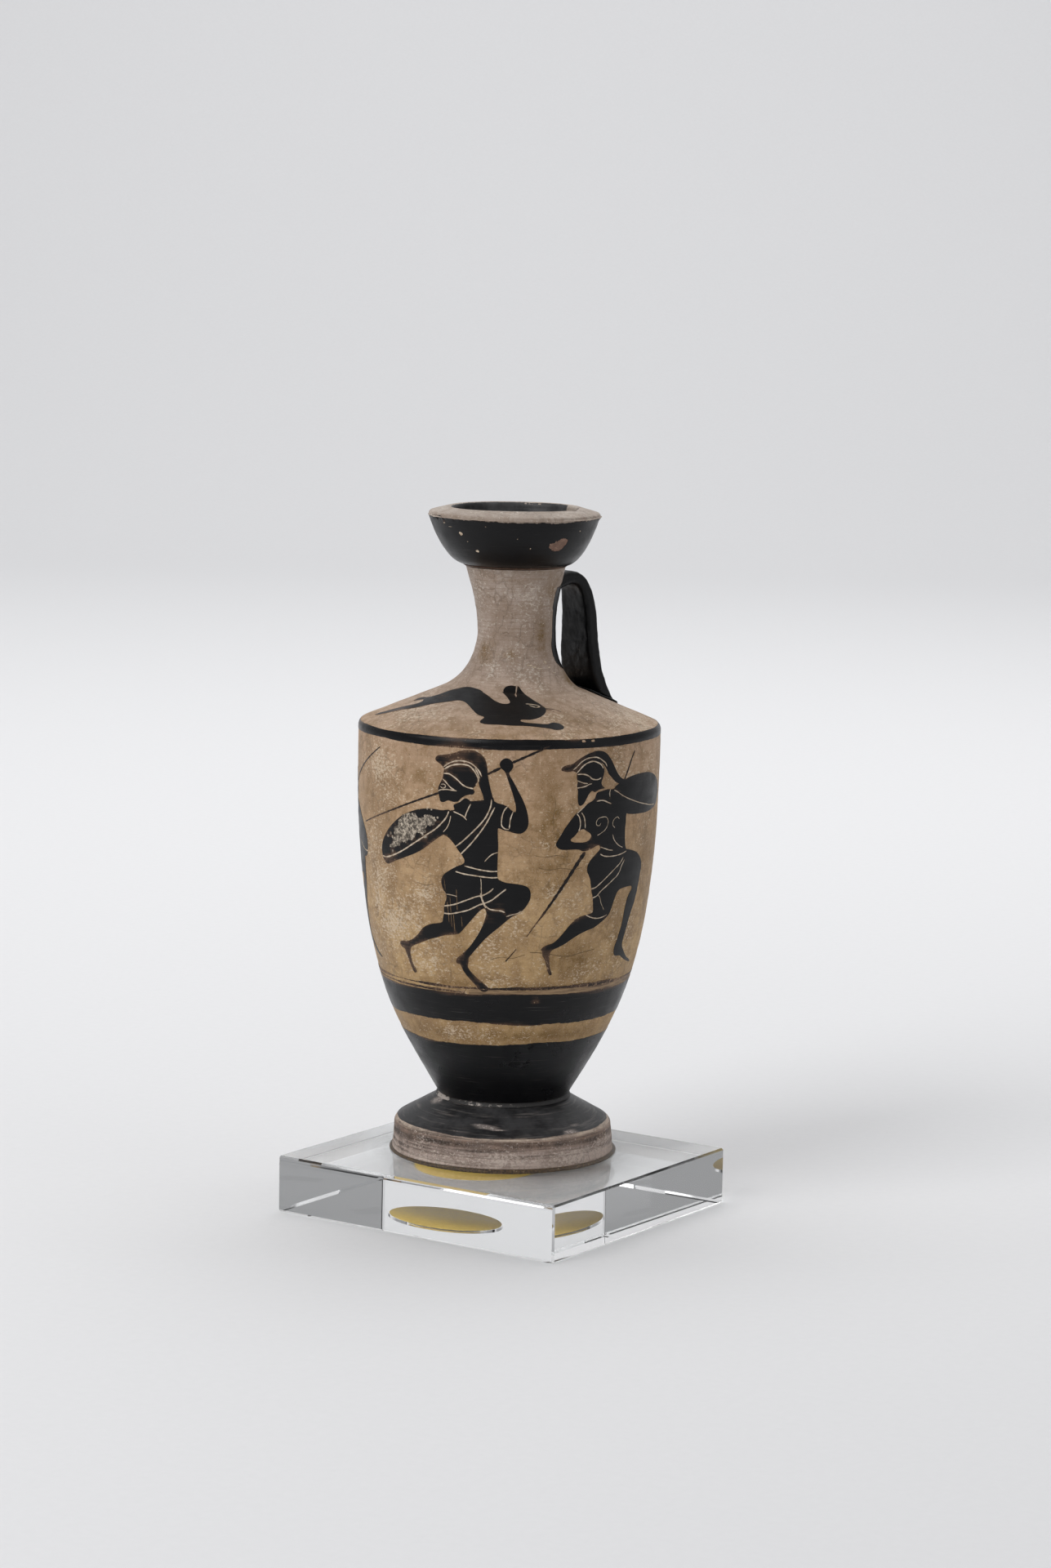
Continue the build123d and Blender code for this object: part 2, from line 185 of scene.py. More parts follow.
# Painted hoplite at the right of the view, with his spear held low and his shield behind him
HOPLITE_B = {
    "crest": pairs(
        10.9, 97.4, 11.2, 98, 12.2, 98.4, 13.4, 98.6, 14.5, 99.3, 16, 100.1, 17.6, 100.7, 19.2, 101,
        20.6, 100.8, 21.6, 100.3, 22.6, 99.3, 23.4, 98.2, 24.2, 96.9, 25, 95.8, 26, 94.9, 27.2, 94.3,
        26.4, 93.5, 25.3, 93.8, 24.2, 94.3, 23.2, 95.2, 22.3, 96, 21.7, 97, 20.6, 98.3, 19, 98.7,
        17, 98.5, 15.4, 97.4, 14.5, 96.7, 13.6, 97.1, 12.6, 97, 11.6, 97.1
    ),
    "head": pairs(
        14.5, 96.9, 14.4, 95.7, 14.6, 94.8, 14.5, 94, 14.7, 93, 14.7, 91.6, 14.9, 90.3, 15.3, 89.9,
        15.9, 90.1, 16.4, 90.7, 16.9, 91.5, 17.4, 92.3, 18.1, 92.8, 18.8, 92.5, 19.7, 92.9, 20.7, 93.1,
        21.3, 93.2, 20.7, 93.7, 20.4, 94.4, 20.7, 95.2, 21, 96.2, 21, 97.3, 20.2, 98.4, 18.6, 99,
        16.8, 98.7, 15.4, 97.8
    ),
    "torso": pairs(
        14.9, 88.7, 14.3, 88.2, 13.6, 87.4, 12.8, 86.4, 12, 85.3, 11.3, 84.1, 10.6, 83, 10.2, 82.2,
        10.5, 81.5, 11.4, 81, 12.6, 80.9, 14, 80.9, 15.4, 80.8, 16.5, 80.4, 17.6, 80.5, 18.6, 80.8,
        19.5, 81.2, 20.4, 81.4, 20.8, 80.7, 20.3, 79.9, 22, 78, 26, 78, 28.8, 79.4, 28.3, 80.4, 28, 81.6,
        27.8, 83.5, 27.9, 85.5, 28.1, 87.4, 30, 88.6, 28, 92, 26.5, 93.4, 25, 93.2, 23.4, 92.8, 22, 92.9,
        20.4, 92.6, 19.3, 92.3, 18.9, 91.4, 18.3, 90.8, 17.4, 90.4, 16.6, 89.9, 15.8, 89.3
    ),
    "legs": pairs(
        20.3, 80.1, 19.3, 79.2, 18.3, 78.2, 17.8, 77.2, 17.8, 76.2, 18.3, 75.2, 18.8, 74.2, 19, 73.2,
        19.2, 72.2, 19.6, 71, 19.9, 69.8, 20.1, 68.4, 20.1, 67.3, 19.2, 67, 17.8, 66.8, 16.6, 66.5,
        15.5, 65.9, 14.5, 65, 13.6, 64, 12.7, 63, 11.7, 62, 10.7, 61.3, 9.6, 61, 8.6, 60.6, 8.1, 60,
        8.4, 59.4, 8.5, 58.7, 9, 58, 9.4, 57.2, 9.7, 56.3, 10.1, 55.2, 10.7, 54.4, 11.2, 54.5,
        10.9, 55.3, 10.5, 56.3, 10.3, 57.4, 10.2, 58.4, 10.3, 59.3, 10.9, 59.9, 12, 60.3, 13.6, 61,
        15.2, 61.9, 17, 62.8, 19, 63.5, 21, 64, 22.6, 64.8, 24, 65.6, 25, 66.4, 25.5, 67.4, 25.9, 68.5,
        26.4, 69.8, 26.9, 70.8, 27.7, 71.4, 28.8, 71.6, 30.5, 71.7, 32, 71.6, 32.4, 71.1, 31.6, 70.2,
        31, 69.2, 30.6, 67.8, 30.4, 66.2, 30.3, 64.6, 30, 63, 29.6, 61.6, 29.3, 60.4, 28.8, 59.2,
        28.8, 58, 29.3, 57.2, 30.3, 56.9, 31.6, 56.8, 33, 56.2, 34.4, 55.6, 36, 55.1, 37.6, 54.7,
        38.5, 54.6, 37.6, 55.2, 36, 55.8, 34.4, 56.7, 33, 57.8, 32, 58.8, 31.8, 59.8, 32.1, 61.4,
        32.5, 63, 32.9, 64.6, 33.6, 66.4, 34.4, 68.2, 34.9, 70, 35.2, 71.8, 35.5, 73.6, 35.7, 75.2,
        35.4, 76.4, 34.4, 77.6, 33, 78.6, 31.4, 79.2, 29.8, 79.6, 28.4, 79.9, 25, 80.6, 22, 81
    ),
    "shield": pairs(
        24, 92.9, 25.6, 93.9, 27, 94.4, 28.5, 94.8, 30.5, 95.1, 33, 95.2, 36, 95.1, 39, 94.5, 41.6, 93.5,
        43.4, 92.3, 44.4, 90.8, 44.5, 89.3, 43.4, 88, 41.6, 87.3, 39, 86.9, 36, 86.7, 33, 86.8, 30, 87,
        28, 87.4, 26, 89, 24.6, 91
    ),
}
BARE_B = [
    pairs(
        15.4, 84.8, 14.4, 83.8, 13.4, 82.9, 13.9, 82.5, 15.3, 82.3, 16.8, 82.3, 17.8, 82.7, 18.3, 83.5,
        17.9, 84.1, 17, 84.6, 16.4, 85
    ),
    pairs(17.2, 91.1, 17.8, 91, 18.5, 91.3, 18.9, 91.9, 18.4, 92.4, 17.9, 92.5, 17.4, 92),
]
LINES_B = {
    "head": [
        line(0.28, 13.6, 97.4, 14.4, 98, 15.4, 98.9, 16.6, 99.5, 17.8, 99.7, 18.9, 99.7, 19.8, 99.4,
             20.6, 98.9, 21.3, 98.4, 21.8, 97.6),
        line(0.34, 14.4, 96.7, 15.2, 97.5, 16, 98.2, 17, 98.7, 18.2, 98.9, 19.3, 98.6, 20.2, 98.1,
             20.8, 97.3),
        line(0.3, 14.5, 96.4, 15.6, 96.4, 16.6, 96.2, 17.4, 95.8, 18, 95.3, 18.8, 95.1, 19.6, 95.1,
             20.3, 95.4),
        line(0.26, 14.5, 95.1, 15.3, 94.8, 16.2, 94.5, 17, 94.4),
        line(0.28, 14.5, 93.6, 15.6, 93.7, 16.6, 93.9, 17.3, 94.2, 18, 94.3),
    ],
    "torso": [
        line(0.3, 14.7, 88.4, 15.6, 89.1, 16.4, 89.8, 17.3, 90.6, 18, 91.2, 18.7, 92.2, 19.4, 92.6,
             20.6, 92.8, 21.8, 93, 23, 93.2),
        line(0.26, 23, 93, 22.7, 92.2, 22.8, 91.2),
        line(0.3, 19.3, 90.6, 20.3, 90.7, 21.2, 90.6, 22.2, 90.2, 23.2, 89.8),
        line(0.32, 14.6, 88.3, 15.2, 87.6, 15.5, 86.6, 15.5, 85.6, 15.2, 84.5),
        line(0.3, 15.7, 88.5, 16.3, 87.6, 16.6, 86.5, 16.7, 85.2),
        line(0.2, 20.6, 86, 20.2, 85.5, 19.6, 85.6, 19.4, 86.2, 19.8, 86.9, 20.8, 87.2, 22, 87.1,
             22.5, 86.4, 22.4, 85.4, 21.8, 84.5, 20.8, 83.9, 19.8, 83.5),
        line(0.2, 25.8, 86.4, 25.2, 86.9, 24.4, 86.6, 23.9, 86, 23.9, 85.3, 24.6, 84.7),
        line(0.22, 24, 83.4, 24.4, 82.4, 25.2, 81.5, 26.2, 80.8, 27.4, 80.3),
        line(0.26, 20.8, 81, 22, 80.6, 23.2, 80.2, 24.4, 80),
    ],
    "legs": [
        line(0.28, 20.9, 79.5, 22, 79, 23.5, 78.8, 25.5, 78.8, 27.2, 79, 28.8, 79.4),
        line(0.3, 19, 72.3, 20.2, 72.5, 21.4, 73.2, 22.6, 74, 24, 75, 25.6, 76.1, 27, 77.1, 27.9, 78.2),
        line(0.3, 19.5, 70.3, 20.8, 70.7, 22, 71.7, 23.4, 72.6, 25, 73.6, 26.4, 74.5, 27.1, 75.4,
             27.6, 76.5, 28.4, 77.7),
        line(0.18, 21.2, 70.9, 21.8, 70.2, 22.2, 69.2, 22.8, 68.2, 23.3, 67.5),
        line(0.26, 18.2, 67, 19.4, 66.4, 20.8, 66, 22.2, 65.9, 23.4, 66.1, 24.4, 66.4),
    ],
    "shield": [
        line(0.24, 23.9, 92.6, 25, 92.1, 26.2, 91.4, 28, 90.6, 30, 89.9, 32, 89.3, 34, 88.8, 36, 88.4,
             38, 88, 40, 87.8, 41.5, 87.7),
    ],
}

# Spears: width at each end, and the line
SPEARS = [
    line((0.24, 0.42), -39, 83.3, -33, 85.3, -27, 87.4, -21, 89.7, -14.7, 92.1),
    line((0.5, 0.55), -4.3, 96.5, -3.2, 97.1, -1.6, 97.9),
    line((0.5, 0.4), 0.7, 99, 4.5, 100.7, 8.3, 102.4),
    line((0.8, 0.45), 17, 80.2, 15.5, 78.2, 13, 74.5, 10, 70.2, 7.4, 66.6),
    line((0.3, 0.16), 7.6, 66.9, 5.8, 64.5, 4.6, 62.8),
    line((0.14, 0.26), 2.4, 60.2, 1.2, 58.8, 0, 57.5),
    line((0.42, 0.3), 27, 94.4, 28.4, 97, 29.6, 99.2, 30.3, 100.2),
    line((0.45, 0.22), -60, 81.6, -52, 87, -46, 91.2, -40.5, 94.8, -31.5, 99.9),
    line((0.5, 0.4), -100.7, 99, -103, 100.1, -106, 101.4),
]

# Thin or worn paint on the wall: way round, height, half width, half height and strength
WORN_SPOTS = [
    (-11, 100.3, 4.5, 4.5, 0.75), (-6.5, 99.6, 2.5, 2.5, 0.5), (-22, 61.2, 4.5, 4, 0.45),
    (-25.6, 58, 3.5, 3.5, 0.65), (-24.2, 54.5, 2, 2, 0.7), (-10.4, 57.8, 2.2, 2.2, 0.5),
    (-6.5, 53, 2.4, 2, 0.5), (-3.5, 66.6, 2.6, 1.8, 0.45), (-13, 62.8, 3, 1.4, 0.5),
    (-28, 77, 3, 2, 0.6), (-17, 81.6, 3, 2, 0.5), (9.2, 57.6, 1.8, 3, 0.95),
    (12.5, 97.8, 2.5, 2.5, 0.45), (18.5, 81.2, 1.8, 1.8, 0.6), (5, 63.5, 4, 4, 0.7),
    (-33, 85.2, 6, 4, 0.5), (-1.5, 69.2, 2, 1.4, 0.5), (16, 66.2, 3, 1.2, 0.5), (-36, 51, 12, 2, 0.55),
    (-12, 51, 8, 2, 0.45), (30, 51, 14, 2, 0.6), (8, 48.7, 1.5, 0.6, 0.9), (-30, 46.5, 6, 1.6, 0.4),
    (-26, 38.6, 5, 1, 0.7), (2, 43.8, 7, 0.7, 0.6), (-4, 33.6, 4, 0.4, 0.8), (14, 103.8, 2, 1, 0.7),
    (-46, 103.2, 6, 1.6, 0.6),
]

# Painted animal on the shoulder, seen from above
ANIMAL = pairs(
    11.1, 24.6, 10.9, 25.5, 9.6, 26.3, 8.2, 26.2, 6, 26.2, 3.2, 26.2, 0.5, 26.3, -2.3, 26, -4.8, 25.6,
    -6, 24.8, -5.9, 24, -5.2, 22.9, -6.5, 21.6, -7.7, 19.2, -8.8, 16.5, -9.7, 15, -10.8, 14.1,
    -12.5, 13.7, -14.5, 13, -16.2, 12.4, -18, 11.9, -20, 11.1, -22, 9.9, -24, 8.6, -26, 7, -27.5, 5.4,
    -28.2, 4.2, -27.4, 4, -25.8, 5.2, -24.5, 5.9, -23, 6.7, -21, 7.8, -19.6, 8.7, -18.2, 8.7, -18, 7.6,
    -19.2, 6.5, -20, 5.5, -19, 5, -18, 5.6, -17, 7.1, -15, 7.8, -12.8, 7.8, -11.2, 8, -9.6, 8.9,
    -7.6, 10.7, -6.1, 12.2, -4.7, 14.2, -3, 16.8, -1.6, 17.9, -0.6, 18, 0, 17.5, -0.4, 15.9, -1.3, 14,
    -1.7, 13.1, -1.4, 12.4, -0.3, 12.1, 0.6, 12.2, 1.3, 12.2, 2.1, 13, 3.3, 14.1, 4.8, 15.7, 6.3, 17,
    7.4, 18.5, 7.2, 20.4, 6, 22.4, 4.3, 23.6, 2.4, 23.9, 2.2, 24.4, 3.2, 24.9, 5.4, 24.9, 7.7, 24.6,
    8.8, 23.6, 10.2, 23.6
)
ANIMAL_WHISKERS = [
    line((0.3, 0.12), 7.2, 18.5, 8.2, 18.2, 9.3, 18.1, 10.7, 18.5),
    line((0.14, 0.08), 7.2, 18.9, 8.4, 18.9, 9.2, 19.1),
]
ANIMAL_LINES = [
    line(0.3, 3.2, 17.6, 4, 17.5, 4.9, 17.5, 5.7, 17.6, 6.1, 18, 5.4, 18.5),
    line(0.26, 3.9, 17.9, 4.6, 18.3, 5.4, 18.5),
    line(0.3, 0.9, 12, 1, 13.4, 1.3, 15.2),
]

# Fine cracks in the clay, and scratches through the left hoplite's thigh
HAIRLINES = [
    line(0.2, 5.5, 59.5, 9, 59.2, 12, 58.6, 15, 58.3, 18, 58.8, 22, 59.3),
    line(0.16, 6.6, 77.3, 9, 76.8, 11.5, 77.1, 14.5, 76.7, 16.5, 77),
    line(0.13, 5.6, 79.9, 8, 79.5, 10.5, 79.8, 12.5, 79.4),
    line(0.13, -3.5, 57.8, -1, 58.4, 1.5, 58.2, 4.5, 59),
    line(0.12, 9.5, 92.4, 9.9, 90, 9.4, 87.6, 9.8, 85),
    line(0.12, -20.5, 73, -18, 72.6, -16, 73.1),
    line(0.12, 60, 72, 64, 71.2, 69, 71.8, 74, 70.9),
]
SCRATCHES = [
    line(0.13, -13.1, 69.6, -12.9, 67.4, -12.8, 65.3),
    line(0.1, -12.4, 70.6, -12.3, 68, -12.2, 64.4),
    line(0.12, -11.7, 67, -11.6, 65, -11.5, 63.4),
    line(0.1, -10.9, 72.4, -10.8, 70, -10.8, 67.9),
    line(0.1, -9.9, 66.8, -9.8, 65.6, -9.8, 64.5),
    line(0.09, -13.6, 74.2, -13.4, 72),
]

# Soft spots on the clay: way round, height, half width, half height and strength
SOIL_SPOTS = [
    (9.5, 86, 4, 6.5, 0.9), (8.5, 75.5, 4.5, 4, 0.7), (13, 79, 4, 2.5, 0.7), (17, 57, 7, 4, 0.8),
    (-18, 95.5, 5, 3.5, 0.45), (-4, 79.5, 2, 4.5, 0.4), (30, 62, 5, 9, 0.5), (39, 78, 6, 12, 0.5),
    (-9.5, 61, 2, 5, 0.4), (-37, 90, 4, 8, 0.35), (-14, 52.3, 9, 0.8, 0.6), (14, 51.8, 22, 0.9, 0.7),
    (8, 40.6, 26, 1.6, 0.75), (-24, 40.5, 9, 1.6, 0.6), (25, 123, 6, 5, 0.9), (-22, 119, 9, 2.5, 0.8),
    (-2, 118.5, 7, 1.2, 0.7), (32, 132, 9, 4, 0.6), (44, 113, 6, 2, 0.9), (20, 106, 9, 2, 0.45),
    (70, 70, 14, 16, 0.6), (-60, 70, 8, 12, 0.5), (-88, 84, 9, 8, 0.5), (92, 56, 10, 5, 0.6),
]
BLEACH_SPOTS = [
    (-27, 64, 6, 6, 1), (-34, 70, 4, 12, 0.8), (-20, 56, 6, 3.5, 0.8), (-4, 60, 4, 8, 0.7),
    (-19, 71, 4, 3, 0.8), (2, 66, 3, 6, 0.6), (0, 53, 6, 1.6, 0.7), (-31, 96, 4, 5, 0.6),
    (-12, 41, 8, 2, 0.7), (-30, 126, 14, 10, 0.35), (10, 128, 12, 8, 0.1), (-30, 107, 12, 3, 0.6),
    (38, 106, 10, 3, 0.7), (-12, 115, 5, 2, 0.6), (60, 88, 10, 8, 0.7), (-75, 62, 10, 8, 0.7),
    (85, 74, 8, 10, 0.6),
]
FOOT_SOIL = [
    (-46, 16.9, 20, 1.1, 1), (-44, 14.7, 17, 0.4, 0.95), (-38, 13.7, 12, 0.3, 0.75),
    (-26, 15.6, 9, 0.3, 0.7), (-20, 17.4, 16, 0.65, 1), (-8, 16.3, 10, 0.3, 0.8),
    (12, 17.5, 14, 0.5, 0.9), (8, 15.4, 9, 0.2, 0.5), (34, 17.2, 12, 0.6, 0.9), (44, 15, 10, 0.4, 0.6),
    (60, 16.8, 22, 0.7, 0.8), (-80, 16.4, 20, 0.7, 0.8), (0, 12.3, 110, 0.3, 0.8),
]
FOOT_PALE = [
    (-2, 14.4, 16, 1.6, 1), (26, 14.6, 12, 1.8, 0.8), (-20, 13.2, 12, 0.7, 0.9), (-40, 12.8, 9, 0.4, 1),
    (74, 14.2, 14, 1.6, 0.9), (-90, 14, 12, 1.5, 0.8),
]
FOOT_RING_PALE = [(-38, 24.4, 7, 3, 1), (-14, 24.4, 12, 3, 0.3), (80, 24.4, 9, 3, 0.6)]

# Chips in the mouth's gloss: angle from the front, height, half width, half height, and a seed
MOUTH_CHIPS = [
    (-41.2, 143.6, 0.45, 0.4, 2), (-30.7, 140.1, 0.4, 0.35, 3), (-37, 142, 0.14, 0.12, 5),
    (12, 141, 0.14, 0.12, 6), (52, 144.4, 0.2, 0.16, 7), (-50, 144.9, 0.6, 0.05, 8),
    (-56, 145.6, 0.35, 0.1, 9), (-20, 145.4, 0.12, 0.06, 10), (2, 143, 0.1, 0.1, 11),
    (140, 142, 1.2, 0.8, 12), (-150, 144, 0.7, 0.4, 13), (105, 140, 0.4, 0.3, 14),
]
LARGE_CHIP = pairs(
    -2.1, 0, -1.4, 0.55, -0.15, 1.15, 0.85, 1.55, 1.8, 1.4, 2.15, 0.7, 1.8, -0.25, 1.2, -1.15, 0.1, -1.5,
    -1.1, -1.3, -1.85, -0.7
)
INNER_NOTCH = pairs(53, -0.9, 67.5, -0.9, 68.2, 0.8, 67.8, 2.6, 62, 3, 54.5, 2.2)

# Black gloss that ran from the handle over the neck's back: angle from the front and height
NECK_GLOSS = pairs(
    106, 135.6, 96, 133.9, 80, 132.4, 64, 131.2, 63, 128.4, 65.5, 125.4, 65, 122.4, 62, 119.8, 64, 117.4,
    76, 115.6, 100, 114.8, 130, 114.4, 160, 114.8, 184, 115.6, 196, 117.4, 198, 121, 195, 125, 196, 129,
    192, 132, 170, 134, 156, 135.6
)
# Rough spots of the seam at the neck's base: angle from the front, height, half width, half height, seed
NECK_SEAM = [
    (19, 116.3, 0.7, 0.1, 1), (25, 115.9, 0.5, 0.14, 2), (33, 115.6, 0.6, 0.08, 3),
    (43, 116.8, 0.3, 0.3, 4), (47, 115.7, 0.4, 0.12, 5), (54, 114.6, 0.5, 0.1, 6),
]

# Thin gloss on the foot and on the shoulder's animal, as the soft spots above
FOOT_WORN = [
    (-7, 20.95, 4.5, 0.18, 1.2), (-5, 20.6, 5, 0.2, 1.3), (-1.5, 20.35, 3.5, 0.16, 1.2),
    (22.5, 19.5, 3, 0.3, 1.2), (26.5, 20.3, 3, 0.2, 0.9), (-38, 23.4, 4.5, 0.8, 1.2),
    (-44, 21.6, 6, 0.25, 0.7), (-32, 20.6, 6, 0.2, 0.6), (-24, 21.9, 9, 0.2, 0.55),
    (8, 22.4, 14, 0.2, 0.5), (-14, 19.7, 9, 0.18, 0.6), (60, 20.5, 8, 0.3, 0.8), (85, 22, 6, 0.4, 0.7),
    (-75, 19.9, 7, 0.3, 0.9), (-90, 22.5, 8, 0.5, 0.6),
]
ANIMAL_WORN = [
    (-30, 109.5, 5, 2, 0.4), (-39, 106.5, 6, 2, 0.6), (15.5, 108, 3, 1.2, 0.7),
]


def aim(start, angle, length):
    """A point at a length from start, at an angle in degrees from upright, outwards."""
    turn = math.radians(angle)
    return (start[0] + length * math.sin(turn), start[1] + length * math.cos(turn))


def curve(start, pull, push, end, count):
    """Points of a cubic curve between two points."""
    t = np.linspace(0, 1, count)[:, None]
    rest = 1 - t
    start, pull, push, end = (np.array(p, float) for p in (start, pull, push, end))
    return rest**3 * start + 3 * rest**2 * t * pull + 3 * rest * t**2 * push + t**3 * end


def unit(rows):
    """Rows of numbers, each made one long."""
    return rows / np.linalg.norm(rows, axis=1)[:, None]


def rounded(before, corner, after, radius, count):
    """Points of the arc that rounds a corner between two straight or nearly straight runs."""
    before, corner, after = (np.array(p, float) for p in (before, corner, after))
    back = (before - corner) / np.linalg.norm(before - corner)
    on = (after - corner) / np.linalg.norm(after - corner)
    half = math.acos(np.clip(back @ on, -1, 1)) / 2
    middle = corner + (back + on) / np.linalg.norm(back + on) * radius / math.sin(half)
    first = corner + back * radius / math.tan(half) - middle
    last = corner + on * radius / math.tan(half) - middle
    t = np.linspace(0, 1, count)[:, None]
    return middle + unit(first * (1 - t) + last * t) * radius


def straight(start, end, count):
    """Points of a straight run, without its last one."""
    return np.linspace(start, end, count, endpoint=False)


def spline(points, closed, step=0.3):
    """A smooth line through given points, sampled at about a step."""
    points = np.array(points, float)
    if closed:
        points = np.vstack([points[-1], points, points[:2]])
    else:
        points = np.vstack([2 * points[0] - points[1], points, 2 * points[-1] - points[-2]])
    gaps = np.sqrt(np.linalg.norm(np.diff(points, axis=0), axis=1))[:, None]
    slopes = np.diff(points, axis=0) / gaps
    tangents = (slopes[:-1] * gaps[1:] + slopes[1:] * gaps[:-1]) / (gaps[:-1] + gaps[1:])
    made = []
    for i in range(len(tangents) - 1):
        start, end, gap = points[i + 1], points[i + 2], gaps[i + 1]
        count = max(2, round(np.linalg.norm(end - start) / step))
        pull, push = start + tangents[i] * gap / 3, end - tangents[i + 1] * gap / 3
        made.append(curve(start, pull, push, end, count + 1)[:-1])
    if not closed:
        made.append(points[-2:-1])
    return np.vstack(made)


def stroke(width, points):
    """The closed outline of a brush or needle stroke, with a width or a width at each end."""
    middle = spline(points, False, 0.25)
    run = np.concatenate([[0], np.cumsum(np.linalg.norm(np.diff(middle, axis=0), axis=1))])
    first, last = width if isinstance(width, tuple) else (width, width)
    half = np.interp(run, [0, run[-1]], [first, last]) / 2
    half = half * (1 + 0.16 * np.sin(run * 3.1 + points[0][0]) + 0.1 * np.sin(run * 7.3 + points[0][1]))
    half = half * np.clip(0.4 + np.minimum(run, run[-1] - run) / TAPER, 0, 1)
    along = unit(np.gradient(middle, axis=0))
    side = np.column_stack([-along[:, 1], along[:, 0]]) * half[:, None]
    return np.vstack([middle + side, (middle - side)[::-1]])


def inside(points, loop):
    """Which points lie within a closed outline."""
    result = np.zeros(len(points), bool)
    near = np.flatnonzero(((points >= loop.min(0)) & (points <= loop.max(0))).all(1))
    x0, y0 = loop.T[..., None]
    x1, y1 = np.roll(loop, -1, axis=0).T[..., None]
    rise = np.where(y1 == y0, 1e-12, y1 - y0)
    for part in np.array_split(near, len(near) // 3000 + 1):
        x, y = points[part].T
        crosses = (y0 > y) != (y1 > y)
        left = crosses & (x < x0 + (y - y0) * (x1 - x0) / rise)
        result[part] = (left * np.sign(rise)).sum(0) != 0
    return result


def inside_any(points, loops):
    """Which points lie within at least one of the outlines."""
    result = np.zeros(len(points), bool)
    for loop in loops:
        result |= inside(points, loop)
    return result


def near_tree(points):
    """A search tree of flat points."""
    tree = KDTree(len(points))
    for i, (x, y) in enumerate(points):
        tree.insert((x, y, 0), i)
    tree.balance()
    return tree


def cut_out(solid, holes, spacing, within=None):
    """Points and triangles of the area inside the solid outlines and outside the holes."""
    loops = [*solid, *holes, *(within or [])]
    outline = np.vstack(loops)
    edges = []
    start = 0
    for loop in loops:
        end = start + len(loop)
        edges += [(i, i + 1 if i + 1 < end else start) for i in range(start, end)]
        start = end
    low, high = np.vstack(solid).min(0), np.vstack(solid).max(0)
    rows = np.arange(low[1], high[1], spacing * 0.87)
    grid = np.array([
        (x + (i % 2) * spacing / 2, y)
        for i, y in enumerate(rows)
        for x in np.arange(low[0], high[0], spacing)
    ])
    tree = near_tree(outline)
    grid = grid[inside_any(grid, solid)]
    grid = [p for p in grid if tree.find((*p, 0))[2] > spacing * 0.45]
    flat = [Vector(p) for p in [*outline, *grid]]
    points, _, triangles, _, _, _ = delaunay_2d_cdt(flat, edges, [], 0, 1e-4)
    points, triangles = np.array(points), np.array(triangles)
    middle = points[triangles].mean(1)
    keep = inside_any(middle, solid) & ~inside_any(middle, holes)
    if within is not None:
        keep &= inside_any(middle, within)
    used, triangles = np.unique(triangles[keep], return_inverse=True)
    return points[used], triangles.reshape(-1, 3)


def close_round(flat, triangles):
    """Joins the two ends of an area that goes all round."""
    left = np.flatnonzero(flat[:, 0] < -HALF_TURN + 1e-3)
    right = np.flatnonzero(flat[:, 0] > HALF_TURN - 1e-3)
    if not len(left) or not len(right):
        return flat, triangles
    joined = np.arange(len(flat))
    joined[right] = left[np.abs(flat[right, 1][:, None] - flat[left, 1]).argmin(1)]
    used, triangles = np.unique(joined[triangles], return_inverse=True)
    return flat[used], triangles.reshape(-1, 3)


def show(name, data):
    """An object of the scene with its data."""
    made = bpy.data.objects.new(name, data)
    bpy.context.scene.collection.objects.link(made)
    return made


def settle(made, replaced=()):
    """Puts a piece on the root body and hides the nodes that it stands for."""
    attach(made, "root")
    if replaced:
        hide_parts(*replaced)
    return made


def dress(mesh, finish, smooth=True):
    """Gives a mesh its material and smooth or flat faces."""
    mesh.polygons.foreach_set("use_smooth", [smooth] * len(mesh.polygons))
    mesh.materials.clear()
    mesh.materials.append(finish)


def piece(name, points, faces, finish, replaced=()):
    """A mesh of the object, from points in millimetres, on the root body."""
    mesh = bpy.data.meshes.new(name)
    mesh.from_pydata((np.asarray(points) * MM).tolist(), [], faces)
    work = bmesh.new()
    work.from_mesh(mesh)
    bmesh.ops.recalc_face_normals(work, faces=work.faces)
    work.to_mesh(mesh)
    work.free()
    dress(mesh, finish)
    mesh.set_sharp_from_angle(angle=CREASE)
    return settle(show(name, mesh), replaced)


